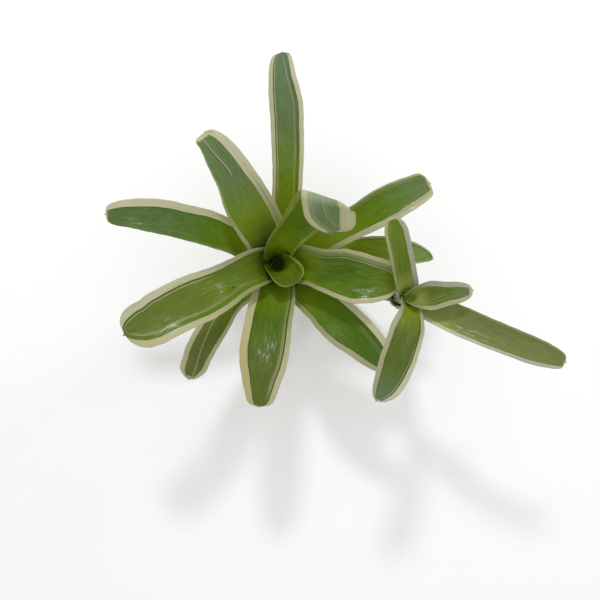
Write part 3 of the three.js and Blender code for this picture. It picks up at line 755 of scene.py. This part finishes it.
def grown_half_widths(name, leaf, rows):
    """Half width towards each side of the blade, with its trims and the slight unevenness of a grown edge."""
    along = rows["along"]
    fade = smooth((along - WOBBLE_FROM) / WOBBLE_RISE) * smooth((leaf["length"] - along) / WOBBLE_FALL)
    widths = []
    for side, trim in zip(("cw", "ccw"), TRIMS.get(name, (LEVEL_TRIM, LEVEL_TRIM))):
        places, changes = zip(*trim)
        change = np.interp(along, places, changes) * smooth(along / TRIM_FADE)
        uneven = WOBBLE * fade * wobble(name, along, WOBBLE_LENGTHS, side)
        widths.append(np.maximum(rows["half_width"] + uneven + change, MUCRO_POINT))
    return widths


def middle_surface(rows, widths):
    """Middle surface of a leaf: rows of points across it, and each point's distance from the midline."""
    heading, tilt, twist = (np.radians(rows[k]) for k in ("heading", "tilt", "twist"))
    across = np.stack([-np.sin(heading), np.cos(heading), np.zeros(len(heading))], 1)
    inwards = np.stack([
        -np.sin(tilt) * np.cos(heading), -np.sin(tilt) * np.sin(heading), np.cos(tilt),
    ], 1)
    side = across * np.cos(twist)[:, None] + inwards * np.sin(twist)[:, None]
    face = inwards * np.cos(twist)[:, None] - across * np.sin(twist)[:, None]
    u = column_places()
    flat = np.where(u < 0, u * widths[0][:, None], u * widths[1][:, None])
    turn = (flat + rows["shift"][:, None]) * rows["curl"][:, None]
    curl = rows["curl"][:, None, None]
    points = rows["centre"][:, None, :] + side[:, None, :] * np.sin(turn)[..., None] / curl
    return points + face[:, None, :] * (1 - np.cos(turn))[..., None] / curl, flat


def fold_over(fold, spine, points):
    """Bends the end of a blade over, about a level line, on a small radius."""
    origin = spine_at(spine, np.array([fold["at"]]), "point")[0]
    direction = spine_at(spine, np.array([fold["at"]]), "direction")[0]
    crease = cosine_turn(fold["azimuth"])
    onward = unit(direction - crease * direction.dot(crease))
    up = np.cross(crease, onward)
    up = up if up[2] > 0 else -up
    radius, full = fold["radius"], math.radians(fold["angle"])
    offset = points - origin
    distance, height = offset @ onward, offset @ up
    turned = np.clip(distance / radius, 0, full)
    beyond = np.maximum(distance - radius * full, 0)
    forward = (radius - height) * np.sin(turned) + beyond * np.cos(turned)
    upward = radius - (radius - height) * np.cos(turned) + beyond * np.sin(turned)
    bent = origin + (offset @ crease)[..., None] * crease + forward[..., None] * onward
    bent = bent + upward[..., None] * up
    return np.where((distance > 0)[..., None], bent, points)


def draw_in_neck(points):
    """Draws the heart of the rosette together above its bulb, so that the inner leaves make a narrow cup."""
    radius = np.linalg.norm(points[..., :2], axis=-1)
    low, waist, rim = NECK_HEIGHTS
    before, most, after = NECK_PULLS
    near, far = NECK_RADII
    height = points[..., 2]
    below = mix(before, most, smooth((height - low) / (waist - low)))
    pull = np.where(height < waist, below, mix(most, after, smooth((height - waist) / (rim - waist))))
    inside = 1 - smooth((radius - near) / (far - near))
    scale = 1 - pull * inside / np.maximum(radius, 1e-6)
    lean = (inside * smooth((height - low) / (waist - low)))[..., None] * np.array(NECK_LEAN)
    return np.concatenate([points[..., :2] * scale[..., None] + lean, points[..., 2:]], -1)


def bulged(points, centre, radius, push):
    distance = np.linalg.norm(points - np.array(centre), axis=-1, keepdims=True)
    return points + np.array(push) * np.exp(-((distance / radius) ** 2))


def grid_normals(points):
    return unit(np.cross(np.gradient(points, axis=0), np.gradient(points, axis=1)))


def waved(name, points, along):
    """Lets the outer parts of a blade rise and fall a little, each side in its own way."""
    u = column_places()
    fade = smooth((along - WAVE_FROM) / WAVE_RISE)[:, None] * np.abs(u) ** WAVE_POWER
    cw, ccw = (wobble(name, along, WAVE_LENGTHS, "wave " + side)[:, None] for side in ("cw", "ccw"))
    return points + grid_normals(points) * (WAVE * fade * np.where(u < 0, cw, ccw))[..., None]


def leaf_skins(name, shoot, leaf):
    """Upper and lower surface of a leaf, and what its material needs to know at each point."""
    spine = blade_spine(shoot, leaf)
    throat_radius = bulb_radius(shoot, leaf["throat"]) - leaf["inset"]
    sheath, blade = sheath_section(shoot, leaf), blade_section(leaf, spine, throat_radius)
    rows = {key: np.concatenate([sheath[key], blade[key]]) for key in sheath}
    points, flat = middle_surface(rows, grown_half_widths(name, leaf, rows))
    if leaf["fold"]:
        points = fold_over(leaf["fold"], spine, points)
    if shoot is ROSETTE:
        points = draw_in_neck(points)
    for bulge in BULGES.get(name, ()):
        points = bulged(points, *bulge)
    points = waved(name, points, rows["along"])
    u = column_places()
    half = rows["thickness"][:, None] / 2 * (1 - EDGE_THINNING * np.abs(u) ** EDGE_THINNING_POWER)
    lift = grid_normals(points) * half[..., None]
    along = np.broadcast_to(rows["along"][:, None], flat.shape)
    vein = np.broadcast_to(u[None, :] * typical_half_width(leaf), flat.shape)
    return {
        "upper": points + lift,
        "lower": points - lift,
        "place": np.stack([along.ravel(), vein.ravel(), (along / leaf["length"]).ravel()], 1),
        "edges": np.stack([(flat[:, -1:] - flat).ravel(), (flat - flat[:, :1]).ravel()], 1),
    }


def leaf_faces(rows, columns):
    """Quads of the upper grid, of the lower one, and of the rim that joins them all round."""
    grid = np.arange(rows * columns).reshape(rows, columns)
    upper = np.stack([grid[:-1, :-1], grid[1:, :-1], grid[1:, 1:], grid[:-1, 1:]], -1).reshape(-1, 4)
    ring = np.concatenate([grid[0], grid[1:, -1], grid[-1, -2::-1], grid[-2:0:-1, 0]])
    following = np.roll(ring, -1)
    rim = np.stack([ring, following, following + grid.size, ring + grid.size], 1)
    return np.vstack([upper, upper[:, ::-1] + grid.size, rim]).tolist()


def vector_attribute(piece, name, values):
    attribute = piece.data.attributes.new(name, "FLOAT_VECTOR", "POINT")
    attribute.data.foreach_set("vector", np.ascontiguousarray(values, dtype=np.float32).ravel())


def scene_object(name, data):
    thing = bpy.data.objects.new(name, data)
    bpy.context.scene.collection.objects.link(thing)
    return thing


def mesh_object(name, points, faces, material):
    mesh = bpy.data.meshes.new(name)
    mesh.from_pydata((points * MM).tolist(), [], faces)
    mesh.validate()
    mesh.polygons.foreach_set("use_smooth", [True] * len(mesh.polygons))
    mesh.materials.append(material)
    return scene_object(name, mesh)


def leaf_object(name, centre, skins, material):
    points = np.vstack([skins["upper"].reshape(-1, 3), skins["lower"].reshape(-1, 3)])
    piece = mesh_object(name, points + centre, leaf_faces(*skins["upper"].shape[:2]), material)
    under = np.repeat([0.0, 1.0], len(points) // 2)[:, None]
    vector_attribute(piece, "place", np.vstack([skins["place"]] * 2))
    vector_attribute(piece, "edges", np.hstack([np.vstack([skins["edges"]] * 2), under]))
    return piece


class Value:
    """The output of a node in a material. What is worked out from it becomes more nodes there."""

    def __init__(self, socket):
        self.socket = socket
        self.tree = socket.id_data

    def math(self, operation, other=None):
        return add_node(self.tree, "Math", {0: self, 1: other}, operation=operation)

    def __add__(self, other):
        return self.math("ADD", other)

    def __sub__(self, other):
        return self.math("SUBTRACT", other)

    def __mul__(self, other):
        return self.math("MULTIPLY", other)

    def __abs__(self):
        return self.math("ABSOLUTE")

    def span(self, low, high, to_low=0.0, to_high=1.0, kind="SMOOTHSTEP"):
        """Goes from to_low to to_high while this value goes from low to high, and no further."""
        inputs = dict(enumerate((self, low, high, to_low, to_high)))
        return add_node(self.tree, "MapRange", inputs, interpolation_type=kind)

    def blend(self, first, second):
        """Mixes two colours. This value is the share of the second."""
        return add_node(self.tree, "Mix", {"Factor": self, 6: first, 7: second}, 2, data_type="RGBA")

    def scaled(self, factor):
        """This colour, lighter or darker by a factor."""
        return add_node(self.tree, "VectorMath", {0: self, "Scale": factor}, operation="SCALE")


def wire(socket, given):
    """Gives a socket a value, a plain number or a colour of three numbers."""
    if isinstance(given, Value):
        given.tree.links.new(given.socket, socket)
    elif given is not None:
        socket.default_value = (*given, 1.0) if socket.type == "RGBA" else given


def add_node(tree, kind, inputs, output=0, **settings):
    """Adds a node with its settings and inputs. Inputs and the output go by their place or name."""
    node = tree.nodes.new("ShaderNode" + kind)
    for key, setting in settings.items():
        setattr(node, key, setting)
    for key, given in inputs.items():
        wire(node.inputs[key], given)
    return Value(node.outputs[output])


def mesh_numbers(tree, name):
    """The three numbers that a mesh keeps under a name at each of its points."""
    vector = add_node(tree, "Attribute", {}, "Vector", attribute_name=name)
    return [add_node(tree, "SeparateXYZ", {0: vector}, axis) for axis in "XYZ"]


def noises_over(x, y, seed, kinds):
    """Each kind of noise over a surface whose places are x and y."""
    noises = {}
    for kind, (x_scale, y_scale, offset, detail) in kinds.items():
        place = {0: x * x_scale, 1: y * y_scale, 2: seed + offset}
        inputs = {"Vector": add_node(x.tree, "CombineXYZ", place), "Scale": 1.0, "Detail": detail}
        noises[kind] = add_node(x.tree, "TexNoise", inputs)
    return noises


def swing(noise, size):
    """Makes a noise go up and down about nought."""
    return (noise - 0.5) * size


def bump(height, distance, strength, normal=None):
    inputs = {"Height": height, "Distance": distance, "Strength": strength, "Normal": normal}
    return add_node(height.tree, "Bump", inputs)


def width_along(t, widths):
    """Width of a margin, from those at the throat, in the middle and at the tip."""
    throat, middle, tip = widths
    return t.span(0.0, 0.5, throat, middle, "LINEAR") + t.span(0.5, 1.0, 0.0, tip - middle, "LINEAR")


def stripe_share(inside, t, stripe):
    start, end, _, strength, t_start, t_end = stripe
    half = (end - start) / 2
    away = abs(inside - (start + end) / 2)
    share = away.span(max(half - STRIPE_SOFTNESS, 0.0), half + STRIPE_SOFTNESS, strength, 0.0)
    if t_start > 0.0:
        share = share * t.span(t_start - STRIPE_ENDS, t_start + STRIPE_ENDS)
    if t_end < 1.0:
        share = share * t.span(t_end - STRIPE_ENDS, t_end + STRIPE_ENDS, 1.0, 0.0)
    return share


def marks_of_leaf(spec, t, edges, wander, narrowing):
    """How much of each kind of mark shows: pale for margins and pale lines, and dark and bright stripes."""
    shares = {}
    for side, distance in edges.items():
        inside = distance + wander - width_along(t, spec[side]) * narrowing
        marks = [("pale", inside.span(-BORDER_SOFTNESS, BORDER_SOFTNESS, 1.0, 0.0))]
        marks += [(stripe[2], stripe_share(inside, t, stripe)) for stripe in spec[side + "_stripes"]]
        for kind, share in marks:
            shares[kind] = shares[kind].math("MAXIMUM", share) if kind in shares else share
    return shares


def green_of_leaf(t, tones, noises):
    green = TONES[tones[0]]
    for start, end, tone in zip(GREEN_PLACES, GREEN_PLACES[1:], tones[1:]):
        green = t.span(start, end, kind="LINEAR").blend(green, TONES[tone])
    for kind, contrast in GREEN_CONTRASTS.items():
        green = green.scaled(swing(noises[kind], contrast) + 1.0)
    return green


def cream_of_leaf(spec, t, edges, noises):
    """Colour of the margins, with greener hairlines and beige patches."""
    sides = [
        t.span(*spec["tone_span"]).blend(*(TONES[tone] for tone in spec[side + "_tones"])) for side in edges
    ]
    cream = edges["cw"].math("LESS_THAN", edges["ccw"]).blend(*sides)
    cream = noises["hair"].span(*CREAM_HAIRLINES).blend(cream, TONES["green cream"])
    return noises["broad"].span(*CREAM_PATCHES).blend(cream, TONES["beige"])


def with_midline(colour, along, vein, midline):
    start, low, end, high, strength = midline
    away = abs(vein - along.span(start, end, low, high, "LINEAR"))
    share = away.span(*MIDLINE_HALF_WIDTHS, strength, 0.0) * along.span(start - MIDLINE_FADE, start)
    return share.blend(colour, TONES["fresh cream"])


def with_spot(colour, along, vein, spot):
    at, across, radius, strength = spot
    forward, sideways = along - at, vein - across
    away = (forward * forward + sideways * sideways).math("SQRT")
    return away.span(radius * SPOT_CORE, radius, strength, 0.0).blend(colour, SPOT)


def with_scar(colour, along, vein, scar):
    """A pale dry line with a brown shade beside it."""
    start, low, end, high = scar
    away = vein - along.span(start, end, low, high)
    window = along.span(start - 2 * SCAR_FADE, start - SCAR_FADE) * along.span(end, end + SCAR_FADE, 1.0, 0.0)
    shade = abs(away - SCAR_SHADE_OFFSET).span(*SCAR_SHADE) * window
    line = abs(away).span(*SCAR_LINE) * window
    return line.blend(shade.blend(colour, BROWN), TONES["rosy"])


def with_marks(colour, spec, along, vein, t):
    """Adds what only some leaves have, and the shade in the heart of the rosette."""
    if spec["midline"]:
        colour = with_midline(colour, along, vein, spec["midline"])
    for spot in spec["spots"]:
        colour = with_spot(colour, along, vein, spot)
    if spec["scar"]:
        colour = with_scar(colour, along, vein, spec["scar"])
    if spec["brown_tip"]:
        colour = t.span(*BROWN_TIP_SPAN, 0.0, spec["brown_tip"]).blend(colour, BROWN)
    # Painted shade: the sheath darkens towards the heart of the rosette.
    if spec["heart"]:
        colour = along.span(*HEART_SPAN, spec["heart"], 0.0).blend(colour, HEART)
    return colour


def upper_and_lower(spec, length, place, edges, noises, narrowing):
    """Colours of the two sides of a leaf."""
    along, vein, t = place
    wander = swing(noises["broad"], BROAD_WANDER) + swing(noises["fine"], FINE_WANDER)
    shares = marks_of_leaf(spec, t, edges, wander, narrowing)
    cream = cream_of_leaf(spec, t, edges, noises)
    if spec["rim"]:
        to_tip = wander * RIM_WANDER - along + length
        rim = to_tip.span(spec["rim"] * RIM_FADE[0], spec["rim"] * RIM_FADE[1], 1.0, 0.0)
        shares["pale"] = shares["pale"].math("MAXIMUM", rim)
        cream = rim.blend(cream, TONES["cream"])
    upper = green_of_leaf(t, spec["greens"], noises)
    if "bright" in shares:
        upper = shares["bright"].blend(upper, BRIGHT_STRIPE)
    upper = shares["pale"].blend(upper, cream)
    if "dark" in shares:
        upper = shares["dark"].blend(upper, DARK_STRIPE)
    upper = with_marks(upper, spec, along, vein, t)
    return upper, lower_colour(along, t, noises, shares, cream)


def lower_colour(along, t, noises, shares, cream):
    """Pale lines of scales over a dull green, the same margins, and straw in the sheath."""
    bloom = noises["hair"].span(*BLOOM_HAIRLINES) * (noises["broad"] * BLOOM_PATCHES[0] + BLOOM_PATCHES[1])
    # Paler haze on the underside up to about seven tenths of the length: partly pale scales, partly a painted
    # highlight on the folded leaf's crease.
    colour = t.span(*HAZE).blend(bloom.blend(UNDER_GREEN, UNDER_BLOOM), UNDER_HAZE)
    colour = shares["pale"].blend(colour, cream)
    if "dark" in shares:
        colour = (shares["dark"] * UNDER_STRIPES).blend(colour, UNDER_GREEN)
    return along.span(*SHEATH_STRAW).blend(colour, SHEATH)


def wax(along, noises, gloss):
    """Gloss of the leaf: bright streaks between duller scales, and the fine relief that breaks them up."""
    spots = noises["ripple"] * RIPPLE_GLOSS[0] + RIPPLE_GLOSS[1]
    glossy = noises["streak"].span(*STREAKS, 0.0, gloss) * spots
    on_blade = along.span(*RELIEF_SPAN)
    normal = None
    for kind, height in LEAF_RELIEF.items():
        normal = bump(noises[kind] * on_blade, height * MM, RELIEF_STRENGTH, normal)
    dull, bright = LEAF_SPECULAR
    rough, polished = LEAF_ROUGHNESS
    return {
        "Specular IOR Level": glossy * (bright - dull) + dull,
        "Roughness": glossy * (polished - rough) + rough,
        "Normal": normal,
    }


def leaf_shader(tree, node, leaf):
    spec = LOOKS[node]
    place = along, vein, t = mesh_numbers(tree, "place")
    ccw, cw, under = mesh_numbers(tree, "edges")
    seed = float(seeded(node + "_surface", 1)[0]) * SEED_SPREAD
    noises = noises_over(along, vein, seed, LEAF_NOISES)
    full_width = NARROWING_FROM * 2 * typical_half_width(leaf)
    narrowing = (ccw + cw).span(0.0, full_width, NARROWEST_MARGIN, 1.0, "LINEAR")
    sides = upper_and_lower(spec, leaf["length"], place, {"ccw": ccw, "cw": cw}, noises, narrowing)
    edge = ccw.math("MINIMUM", cw).span(*EDGE_LINE) * along.span(*EDGE_SPAN)
    # Painted glow: the inner side of the sheaths gives off a little light in place of daylight through them.
    shine = under.span(0.0, 1.0, 1.0, 0.0, "LINEAR") * along.span(*GLOW_SPAN, spec["glow"], 0.0)
    return {
        "Base Color": edge.blend(under.blend(*sides), EDGE_BROWN),
        "Emission Color": GLOW,
        "Emission Strength": shine,
        **wax(along, noises, spec["gloss"]),
    }


def dry_shader(tree, node, leaf):
    along, vein, t = mesh_numbers(tree, "place")
    streak = noises_over(along, vein, 0.0, DRY_NOISES)["streak"]
    colour = streak.span(*DRY_STREAKS).blend(DRY_DARK, DRY_LIGHT)
    return {
        "Base Color": t.span(*DRY_TIP).blend(colour, DRY_TIP_BROWN),
        "Roughness": streak * DRY_ROUGHNESS[0] + DRY_ROUGHNESS[1],
        "Specular IOR Level": DRY_SPECULAR,
        "Normal": bump(streak, DRY_RELIEF * MM, RELIEF_STRENGTH),
    }


def wood_shader(tree):
    kind, along, around = mesh_numbers(tree, "wood")
    noises = noises_over(along, around, 0.0, WOOD_NOISES)
    fibre, rings = noises["fibre"], noises["rings"]
    root = rings.span(*ROOT_RINGS).blend(fibre.blend(ROOT_DARK, ROOT_LIGHT), ROOT_RING)
    stolon = noises["blotch"].blend(STOLON_GREEN, STOLON_TAN)
    stolon = (fibre * STOLON_FIBRES).blend(stolon, STOLON_FIBRE)
    # Painted shade and painted glow on the top of the stem, deep in the cup.
    inner = kind.span(STEM_KIND, STEM_KIND / 2, 1.0, 0.0) * along.span(*STEM_TOP_SPAN)
    return {
        "Base Color": inner.blend(kind.span(ROOT_KIND, STOLON_KIND).blend(root, stolon), HEART),
        "Emission Color": GLOW,
        "Emission Strength": inner * STEM_TOP_GLOW,
        "Roughness": fibre * WOOD_ROUGHNESS[0] + WOOD_ROUGHNESS[1],
        "Normal": bump(rings, *RING_RELIEF, bump(fibre, *FIBRE_RELIEF)),
    }


def floor_shader(tree):
    place = add_node(tree, "TexCoord", {}, "Object")
    grain = add_node(tree, "TexNoise", {"Vector": place, "Scale": FLOOR_GRAIN, "Detail": 3.0})
    low = tuple(c * FLOOR_SHADE for c in FLOOR_COLOUR)
    return {"Base Color": grain.blend(low, FLOOR_COLOUR), "Roughness": 0.9, "Specular IOR Level": 0.1}


def new_material(name, shader, *details):
    """A material whose shader gets what a function works out for each of its sockets."""
    material = bpy.data.materials.new(name)
    material.use_nodes = True
    tree = material.node_tree
    for socket, given in shader(tree, *details).items():
        wire(tree.nodes["Principled BSDF"].inputs[socket], given)
    return material


def catmull_rom(points, count):
    """Centripetal curve through points, as in the part's source."""
    points = np.array(points, float)
    padded = np.vstack([2 * points[0] - points[1], points, 2 * points[-1] - points[-2]])
    knots = np.cumsum([0, *np.linalg.norm(np.diff(padded, axis=0), axis=1) ** 0.5])
    curve = []
    for place in np.linspace(0, len(points) - 1, count):
        first = min(int(place), len(points) - 2)
        share = place - first
        p, k = padded[first:first + 4], knots[first:first + 4]
        at = mix(k[1], k[2], share)
        p = [mix(p[i], p[i + 1], (at - k[i]) / (k[i + 1] - k[i])) for i in range(3)]
        p = [mix(p[i], p[i + 1], (at - k[i]) / (k[i + 2] - k[i])) for i in range(2)]
        curve.append(mix(*p, share))
    return np.array(curve)


def ring_turns(sides):
    return np.arange(sides) / sides * 2 * np.pi


def capped(rings, along, start, end):
    """Closed skin over rings of points. Start and end are a point and its distance along.
    Returns the points, the faces, and each point's distance along and angle round."""
    count, sides, _ = np.shape(rings)
    last = 1 + (count - 1) * sides
    faces = []
    for j in range(sides):
        k = (j + 1) % sides
        faces.append((0, 1 + k, 1 + j))
        faces += [(a + j, a + k, a + sides + k, a + sides + j) for a in range(1, last, sides)]
        faces.append((last + sides, last + j, last + k))
    return (
        np.vstack([start[0], np.reshape(rings, (-1, 3)), end[0]]),
        faces,
        np.concatenate([[start[1]], np.repeat(along, sides), [end[1]]]),
        np.concatenate([[0], np.tile(ring_turns(sides), count), [0]]),
    )


def tube(route, radii, sides):
    """Closed tube along a route."""
    tangent = unit(np.gradient(route, axis=0))
    across = np.cross(tangent[0], TUBE_SIDE)
    turn = ring_turns(sides)[:, None]
    rings = []
    for point, forward, radius in zip(route, tangent, radii):
        across = unit(across - forward * across.dot(forward))
        up = np.cross(forward, across)
        rings.append(point + radius * (np.cos(turn) * across + np.sin(turn) * up))
    along = np.concatenate([[0], np.cumsum(np.linalg.norm(np.diff(route, axis=0), axis=1))])
    return capped(rings, along, (route[0], 0), (route[-1], along[-1]))


def turned(outline, sides):
    """Closed form turned about the vertical through an outline of radius and height."""
    outline = np.array(outline, float)
    corners = np.arange(len(outline))
    parts = np.linspace(0, corners[-1], corners[-1] * OUTLINE_STEPS + 1)
    radius, height = (np.interp(parts, corners, outline[:, k]) for k in range(2))
    ends = [((0, 0, z), z) for z in (height[0], height[-1])]
    radius, height = radius[1:-1], height[1:-1]
    turn = ring_turns(sides)
    round_it = np.stack([np.cos(turn), np.sin(turn), 0 * turn], 1)
    rings = radius[:, None, None] * round_it + height[:, None, None] * np.array([0, 0, 1.0])
    return capped(rings, height, *ends)


def root_route(azimuth, reach, turn):
    wander = ROOT_WANDER if turn % 2 == 0 else -ROOT_WANDER
    start, shoulder, landing = ROOT_DISTANCES

    def at(distance, height, drift):
        return distance * cosine_turn(azimuth + drift) + (0, 0, height)

    return catmull_rom([
        at(start, ROOT_HEIGHT, 0),
        at(shoulder, ROOT_HEIGHT, 0),
        at(landing, mix(ROOT_RADIUS, ROOT_HEIGHT, 0.2), wander / 2),
        at(mix(landing, reach, 0.55), ROOT_RADIUS, wander),
        at(reach, ROOT_RADIUS, wander / 3),
    ], ROOT_POINTS)


def root_radii(count, turn):
    """A root thins out, with faint swellings, and ends bluntly."""
    part = np.linspace(0, 1, count)
    radii = ROOT_RADIUS * (1 - ROOT_TAPER * part) * (1 + ROOT_SWELLING * np.sin(part * ROOT_SWELLINGS + turn))
    radii[-1] *= ROOT_END
    return radii


def rootlets(route, name):
    """Thin side roots that leave a root and droop to the ground."""
    parts = []
    draws = seeded(name, 5 * ROOTLET_COUNT).reshape(-1, 5)
    for i, (place, size, lean, side, bend) in enumerate(draws):
        at = int(mix(*ROOTLET_STRETCH, (i + place) / ROOTLET_COUNT) * (len(route) - 1))
        forward = unit(route[min(at + 1, len(route) - 1)] - route[at - 1]) * LEVEL
        across = np.cross((0, 0, 1), forward) * (1 if side > 0.5 else -1)
        lean = math.radians(mix(*ROOTLET_LEAN, lean))
        way = forward * math.cos(lean) + across * math.sin(lean)
        tip = route[at] + way * mix(*ROOTLET_LENGTHS, size) + forward * (bend - 0.5) * ROOTLET_TIP_DRIFT
        middle = (route[at] + tip) / 2 + across * (bend - 0.5) * ROOTLET_BEND
        line = catmull_rom([
            route[at],
            middle * LEVEL + (0, 0, ROOTLET_RADIUS + ROOTLET_ARCH),
            tip * LEVEL + (0, 0, ROOTLET_RADIUS),
        ], ROOTLET_POINTS)
        radii = ROOTLET_RADIUS * np.linspace(1, ROOTLET_TAPER, ROOTLET_POINTS)
        parts.append(tube(line, radii, ROOTLET_SIDES))
    return parts


def stem_parts():
    """Stem, roots with rootlets, stolon and the offset's core: each one's kind and its skin."""
    parts = [(STEM_KIND, turned(STEM_OUTLINE, STEM_SIDES))]
    for turn, (azimuth, reach) in enumerate(zip(ROOT_AZIMUTHS, ROOT_REACHES)):
        route = root_route(azimuth, reach, turn)
        parts.append((ROOT_KIND, tube(route, root_radii(len(route), turn), ROOT_SIDES)))
        parts += [(ROOT_KIND, rootlet) for rootlet in rootlets(route, "rootlets %d" % turn)]
    route = catmull_rom(STOLON_ROUTE, STOLON_POINTS)
    parts.append((STOLON_KIND, tube(route, np.full(len(route), STOLON_RADIUS), STOLON_SIDES)))
    points, *rest = turned(OFFSET_CORE_OUTLINE, STOLON_SIDES)
    return parts + [(STOLON_KIND, (points + OFFSET["centre"], *rest))]


def hand_over(piece, node, slot):
    """Rides on the plant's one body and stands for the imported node."""
    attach(piece, "root")
    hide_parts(node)


def make_stem():
    points, faces, wood, first = [], [], [], 0
    for kind, (part_points, part_faces, along, around) in stem_parts():
        points.append(part_points)
        faces += [tuple(first + i for i in face) for face in part_faces]
        wood.append(np.stack([np.full(len(along), kind), along, around], 1))
        first += len(part_points)
    material = new_material("woody_stem", wood_shader)
    piece = mesh_object("stem_roots_stolon", np.vstack(points), faces, material)
    vector_attribute(piece, "wood", np.vstack(wood))
    hand_over(piece, "stem_with_roots_and_stolon", "woody_stem")


def make_leaves(shoot, defaults, leaves, slot, shader):
    for turn, (node, leaf) in enumerate(leaves.items()):
        placed = place_leaf(shoot, defaults, leaf, turn)
        material = new_material(node + "_surface", shader, node, placed)
        skins = leaf_skins(node, shoot, placed)
        hand_over(leaf_object(node + "_grown", shoot["centre"], skins, material), node, slot)


def make_camera():
    data = bpy.data.cameras.new("camera")
    half, distance = CAMERA_HALF_VIEW
    data.angle = 2 * math.atan(half / distance)
    data.clip_start = 0.01
    camera = scene_object("camera", data)
    camera.location = [c * MM for c in CAMERA_PLACE]
    bpy.context.scene.camera = camera


def area_light(name, place, target, size, power, colour):
    data = bpy.data.lights.new(name, "AREA")
    data.shape = "RECTANGLE"
    data.size, data.size_y = size[0] * MM, size[1] * MM
    data.energy = power
    data.color = colour
    light = scene_object(name, data)
    light.location = (place * MM).tolist()
    light.rotation_euler = Vector((target - place).tolist()).to_track_quat("-Z", "Y").to_euler()


def make_lights():
    target = np.array(LIGHT_TARGET)
    for name, (azimuth, elevation, distance, *rest) in LIGHTS.items():
        rise = math.radians(elevation)
        towards = cosine_turn(azimuth) * math.cos(rise) + (0, 0, math.sin(rise))
        area_light(name, target + towards * distance, target, *rest)
    world = bpy.data.worlds.new("room")
    world.use_nodes = True
    background = world.node_tree.nodes["Background"]
    background.inputs["Color"].default_value = (*ROOM_COLOUR, 1.0)
    background.inputs["Strength"].default_value = ROOM_STRENGTH
    bpy.context.scene.world = world


def make_floor():
    corners = FLOOR_HALF_SIZE * np.array([(-1, -1, 0), (1, -1, 0), (1, 1, 0), (-1, 1, 0)])
    mesh_object("floor", corners, [(0, 1, 2, 3)], new_material("floor", floor_shader))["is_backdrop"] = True


make_camera()
make_lights()
make_floor()
make_stem()
make_leaves(ROSETTE, ROSETTE_LEAF, ROSETTE_LEAVES, "leaf", leaf_shader)
make_leaves(OFFSET, OFFSET_LEAF, OFFSET_LEAVES, "offset_leaf", leaf_shader)
make_leaves(OFFSET, BRACT, BRACTS, "dry_bract", dry_shader)
bpy.context.scene.view_settings.view_transform = "Standard"

sizes = {
    "cad": [list(map(float, corner)) for corner in cad_box],
    "visual": [list(map(float, corner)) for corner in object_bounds()],
}
